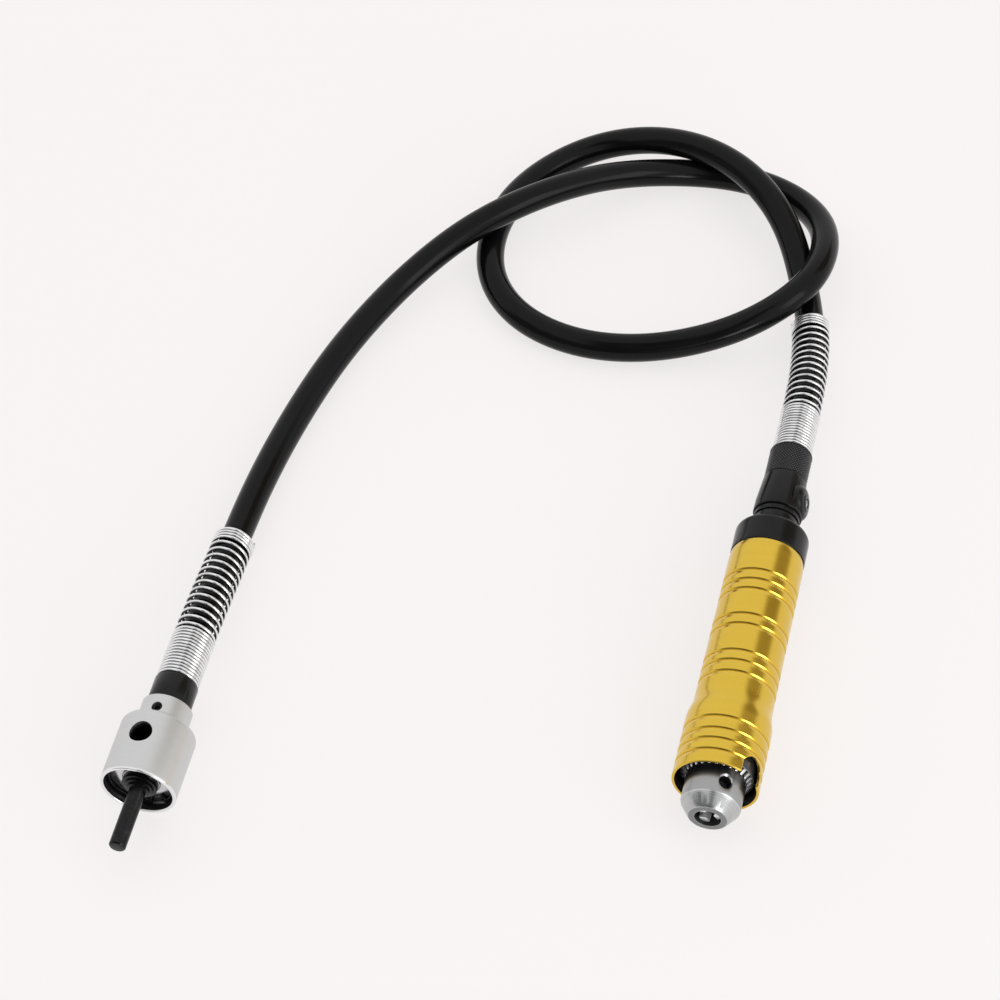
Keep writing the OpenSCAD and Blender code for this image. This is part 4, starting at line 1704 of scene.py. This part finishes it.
@dataclass
class DriveEnd:
    """The connector cup with its two holes, the parts in its mouth, and the shank."""

    book: FinishBook
    mouth: float = -132.05
    seat: float = -127.7
    groove: float = 1.25
    shoulder: float = -105.65
    neck_end: float = -94.3
    bush_y: float = -107.15
    bush_len: float = 4.5
    cup_r: float = 14.75
    mouth_r: float = 13.3
    groove_r: float = 13.9
    bearing_r: float = 13.0
    bearing_len: float = 8.0
    chamber_r: float = 12.0
    bush_r: float = 8.0
    neck_r: float = 9.9
    hose_r: float = 6.5
    hollow: float = 1.2
    access_hole: tuple[float, float, float] = (101.5, -115.0, 4.5)
    screw_hole: tuple[float, float, float] = (99.4, -100.2, 2.1)

    def _outline(self) -> Profile:
        """Draws the cup's wall.

        Returns:
            The profile from the mouth, over the outside and back through the bores.
        """
        groove_y, round_y = self.seat - self.groove, self.shoulder + 2
        bush_end, bearing_end = self.bush_y + self.bush_len, self.seat + self.bearing_len
        mouth = stairs(self.mouth_r, groove_y, self.mouth, self.cup_r, self.mouth + 2)
        inside = stairs(
            self.neck_r, self.shoulder + 3.2, self.neck_end, self.hose_r, bush_end,
            self.bush_r, self.bush_y, self.chamber_r, bearing_end, self.bearing_r, self.seat,
            self.groove_r, groove_y,
        )
        angles = [math.radians(a) for a in range(0, 90, 15)]
        fillet = [
            (
                self.neck_r + self.hollow * (1 - math.sin(a)),
                round_y + self.hollow * (1 - math.cos(a)),
            )
            for a in angles
        ]
        return [
            *rounded(mouth, 0.7, closed=False), *end_round(self.cup_r, round_y, 3), *fillet,
            *rounded(inside, 0.4, closed=False),
        ]

    def _cup(self) -> bpy.types.Object:
        """Turns the cup and drills its two holes.

        Returns:
            The cup.
        """
        made = turned("connector_cup", Axis.DRIVE, self._outline(), 160)
        access = radial_pin("access_cut", Axis.DRIVE, *self.access_hole, 9, 16)
        screw = radial_pin("screw_cut", Axis.DRIVE, *self.screw_hole, 5.5, 11)
        eased(cut(made, [access, screw]), 0.28, 3, 40)
        return self.book.fit(made, "root", "satin_nickel", "drive_connector", Axis.DRIVE)

    def build(self) -> None:
        """Builds the cup and refines what shows around it."""
        self._cup()
        for about in (
            ("connector_grub_screw", "cup_screw", "root", "black_steel", 0.1),
            ("mouth_circlip", "mouth_snap_ring", "root", "black_steel", 0.12),
            ("drive_ferrule", "drive_clamp", "root", "black_gloss", 0.3),
            ("drive_bearing_outer", "bearing_outer_race", "root", "bearing_steel", 0.2),
            ("drive_bearing_shield", "bearing_shield", "root", "bright_steel", 0.04),
            ("drive_bearing_inner", "bearing_inner_race", "drive", "bearing_steel", 0.2),
            ("drive_spindle", "drive_shank_spindle", "drive", "black_steel", 0.14),
            ("spindle_grub_screw", "core_screw", "drive", "bright_steel", 0.08),
        ):
            self.book.copy(*about, Axis.DRIVE)


def dress_hidden_nodes(book: FinishBook) -> None:
    """Gives every CAD node the finish of its slot, which shows where no piece replaces it.

    Args:
        book: The finishes.
    """
    for entry in frame["record"]["subparts"]:
        middle = sum(corner.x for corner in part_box(entry["node"])) / 2
        axis = Axis.HAND if middle > 0 else Axis.DRIVE
        dress(frame["nodes"][entry["node"]], book.get(entry["material_slot"], axis))


# ------------------------------------------------------------------ studio


@dataclass
class Lamp:
    """One soft box that points at a spot on the table, its places being in metres."""

    name: str
    stand_m: Spot
    size_m: tuple[float, float]
    power: float
    aim_m: Spot = (0.0, 0.05, 0.0)

    def build(self) -> None:
        """Hangs the lamp."""
        light = bpy.data.lights.new(self.name, "AREA")
        light.shape = "RECTANGLE"
        light.size, light.size_y = self.size_m
        light.energy = self.power
        hang(self.name, light, self.stand_m, Vector(self.aim_m) - Vector(self.stand_m))


def hang(name: str, data: bpy.types.ID, stand_m: Sequence[float], look: Vector) -> None:
    """Puts a lamp or camera in the scene.

    Args:
        name: The object's name.
        data: The lamp or camera.
        stand_m: Its place, in metres.
        look: The direction that it faces.
    """
    made = bpy.data.objects.new(name, data)
    made.location = stand_m
    made.rotation_euler = look.to_track_quat("-Z", "Y").to_euler()
    bpy.context.scene.collection.objects.link(made)


EVERYWHERE = (-3.0, -2.0, 2.0, 3.0)


@dataclass(frozen=True)
class Panel:
    """A soft-edged patch of the surroundings with a colour of its own.

    Each reach gives where the patch starts, is full, is full still, and ends, on one
    coordinate of the direction that it lies in.
    """

    colour: Colour
    across: Reach = EVERYWHERE
    ahead: Reach = EVERYWHERE
    up: Reach = EVERYWHERE

    def share(self, heading: Sequence[Value]) -> Value:
        """Finds how much of the patch shows in a direction.

        Args:
            heading: The direction's three coordinates.

        Returns:
            One inside the patch, zero outside.
        """
        reaches = (self.across, self.ahead, self.up)
        x, y, z = (
            part.ramp(start, full) * (1 - part.ramp(last, end))
            for part, (start, full, last, end) in zip(heading, reaches)
        )
        return x * y * z


@dataclass
class Studio:
    """The pale table, the soft light and the camera."""

    target_m: Spot = (-0.0086, 0.0432, 0.0)
    reach_m: Spot = (0.1731, -0.7210, 0.9663)
    lens: float = 108.0
    sensor: float = 36.0
    clip_m: tuple[float, float] = (0.05, 20.0)
    table_half_m: float = 6.0
    table_drop_m: float = 0.0002
    floor_colour: Colour = (0.90, 0.875, 0.87)
    floor_shade: float = 0.985
    floor_glow: float = 0.75
    glow_level: float = 1.1
    lamps: Sequence[Lamp] = (
        Lamp("side_box", (1.3, -0.28, 0.8), (0.6, 0.95), 3.2),
        Lamp("low_box", (0.88, -1.26, 0.34), (0.5, 0.46), 4.2),
    )
    sky: Colour = (0.95, 0.945, 0.94)
    panels: Sequence[Panel] = (
        Panel(
            (0.31, 0.25, 0.15), across=(0.32, 0.46, 0.77, 0.81), ahead=(0.46, 0.53, 2, 3),
            up=(0.1, 0.2, 2, 3),
        ),
        Panel(
            (0.22, 0.22, 0.22), across=(-3, -2, 0.3, 0.4), ahead=(-3, -2, -0.42, -0.28),
            up=(0.02, 0.08, 0.6, 0.75),
        ),
        Panel(
            (0.1, 0.1, 0.1), across=(-0.16, -0.06, 0.12, 0.22), ahead=(-3, -2, -0.1, 0.0),
            up=(0.02, 0.1, 2, 3),
        ),
    )

    def build_camera(self) -> None:
        """Sets up the camera."""
        data = bpy.data.cameras.new("camera")
        data.lens = self.lens
        data.sensor_width = self.sensor
        data.clip_start, data.clip_end = self.clip_m
        reach = Vector(self.reach_m)
        hang("camera", data, Vector(self.target_m) + reach, -reach)
        bpy.context.scene.camera = bpy.data.objects["camera"]

    def _lay_table(self) -> None:
        """Lays the table, which glows where a camera, a gloss or glass looks at it.

        The glow makes the table white and its shadows soft without more light on the
        object, and metal shows the same table that the camera sees.
        """
        form = bmesh.new()
        bmesh.ops.create_grid(form, x_segments=1, y_segments=1, size=self.table_half_m)
        form.transform(Matrix.Translation((0, 0, -self.table_drop_m)))
        table = piece_from("table_top", form)
        paper = Surface("pale_table")
        shaded = tuple(part * self.floor_shade for part in self.floor_colour)
        tone = paper.mix(paper.noise(0.004, 2.0).ramp(0.3, 0.7), self.floor_colour, shaded)
        matte = paper.socket(
            "ShaderNodeBsdfPrincipled", None, {"Base Color": tone, "Roughness": 0.7}
        )
        glow = paper.socket(
            "ShaderNodeEmission",
            None,
            {"Color": (*self.floor_colour, 1.0), "Strength": self.glow_level},
        )
        ray = paper.node("ShaderNodeLightPath")
        camera, gloss, glass = (
            Value(paper, ray.outputs[f"Is {kind} Ray"])
            for kind in ("Camera", "Glossy", "Transmission")
        )
        seen = (camera + gloss + glass).ramp(0.0, 1.0) * self.floor_glow
        blend = paper.socket("ShaderNodeMixShader", None, {0: seen, 1: matte, 2: glow})
        paper.node("ShaderNodeOutputMaterial", None, {0: blend})
        dress(table, paper.material)

    def _build_sky(self) -> None:
        """Lights the scene with a pale sky that has the panels in it."""
        world = bpy.data.worlds.new("sky")
        world.use_nodes = True
        world.node_tree.nodes.clear()
        air = Graph(world.node_tree)
        direction = air.node("ShaderNodeTexCoord").outputs["Generated"]
        parts = air.node("ShaderNodeSeparateXYZ", None, {0: direction})
        heading = [Value(air, socket) for socket in parts.outputs]
        colour: Any = self.sky
        for panel in self.panels:
            colour = air.mix(panel.share(heading), colour, panel.colour)
        glow = air.socket("ShaderNodeBackground", None, {"Color": colour, "Strength": 1.0})
        air.node("ShaderNodeOutputWorld", None, {0: glow})
        bpy.context.scene.world = world

    def build_light(self) -> None:
        """Lays the table, makes the sky and hangs the lamps."""
        bpy.context.scene.view_settings.view_transform = "Standard"
        self._lay_table()
        self._build_sky()
        for lamp in self.lamps:
            lamp.build()


def main() -> None:
    """Builds the scene in order."""
    logging.basicConfig(level=logging.INFO, format="%(message)s")
    book = FinishBook()
    studio = Studio()
    route = HoseRoute()
    studio.build_camera()
    Hose(route, book).build()
    SpringGuard(route, book, GuardEnd.DRIVE, 7.8, 3.6).build()
    SpringGuard(route, book, GuardEnd.HAND, 7.4, 3.8).build()
    Handle(book).build()
    RearEnd(book).build()
    Chuck(book).build()
    DriveEnd(book).build()
    dress_hidden_nodes(book)
    studio.build_light()


if __name__ == "__main__":
    main()
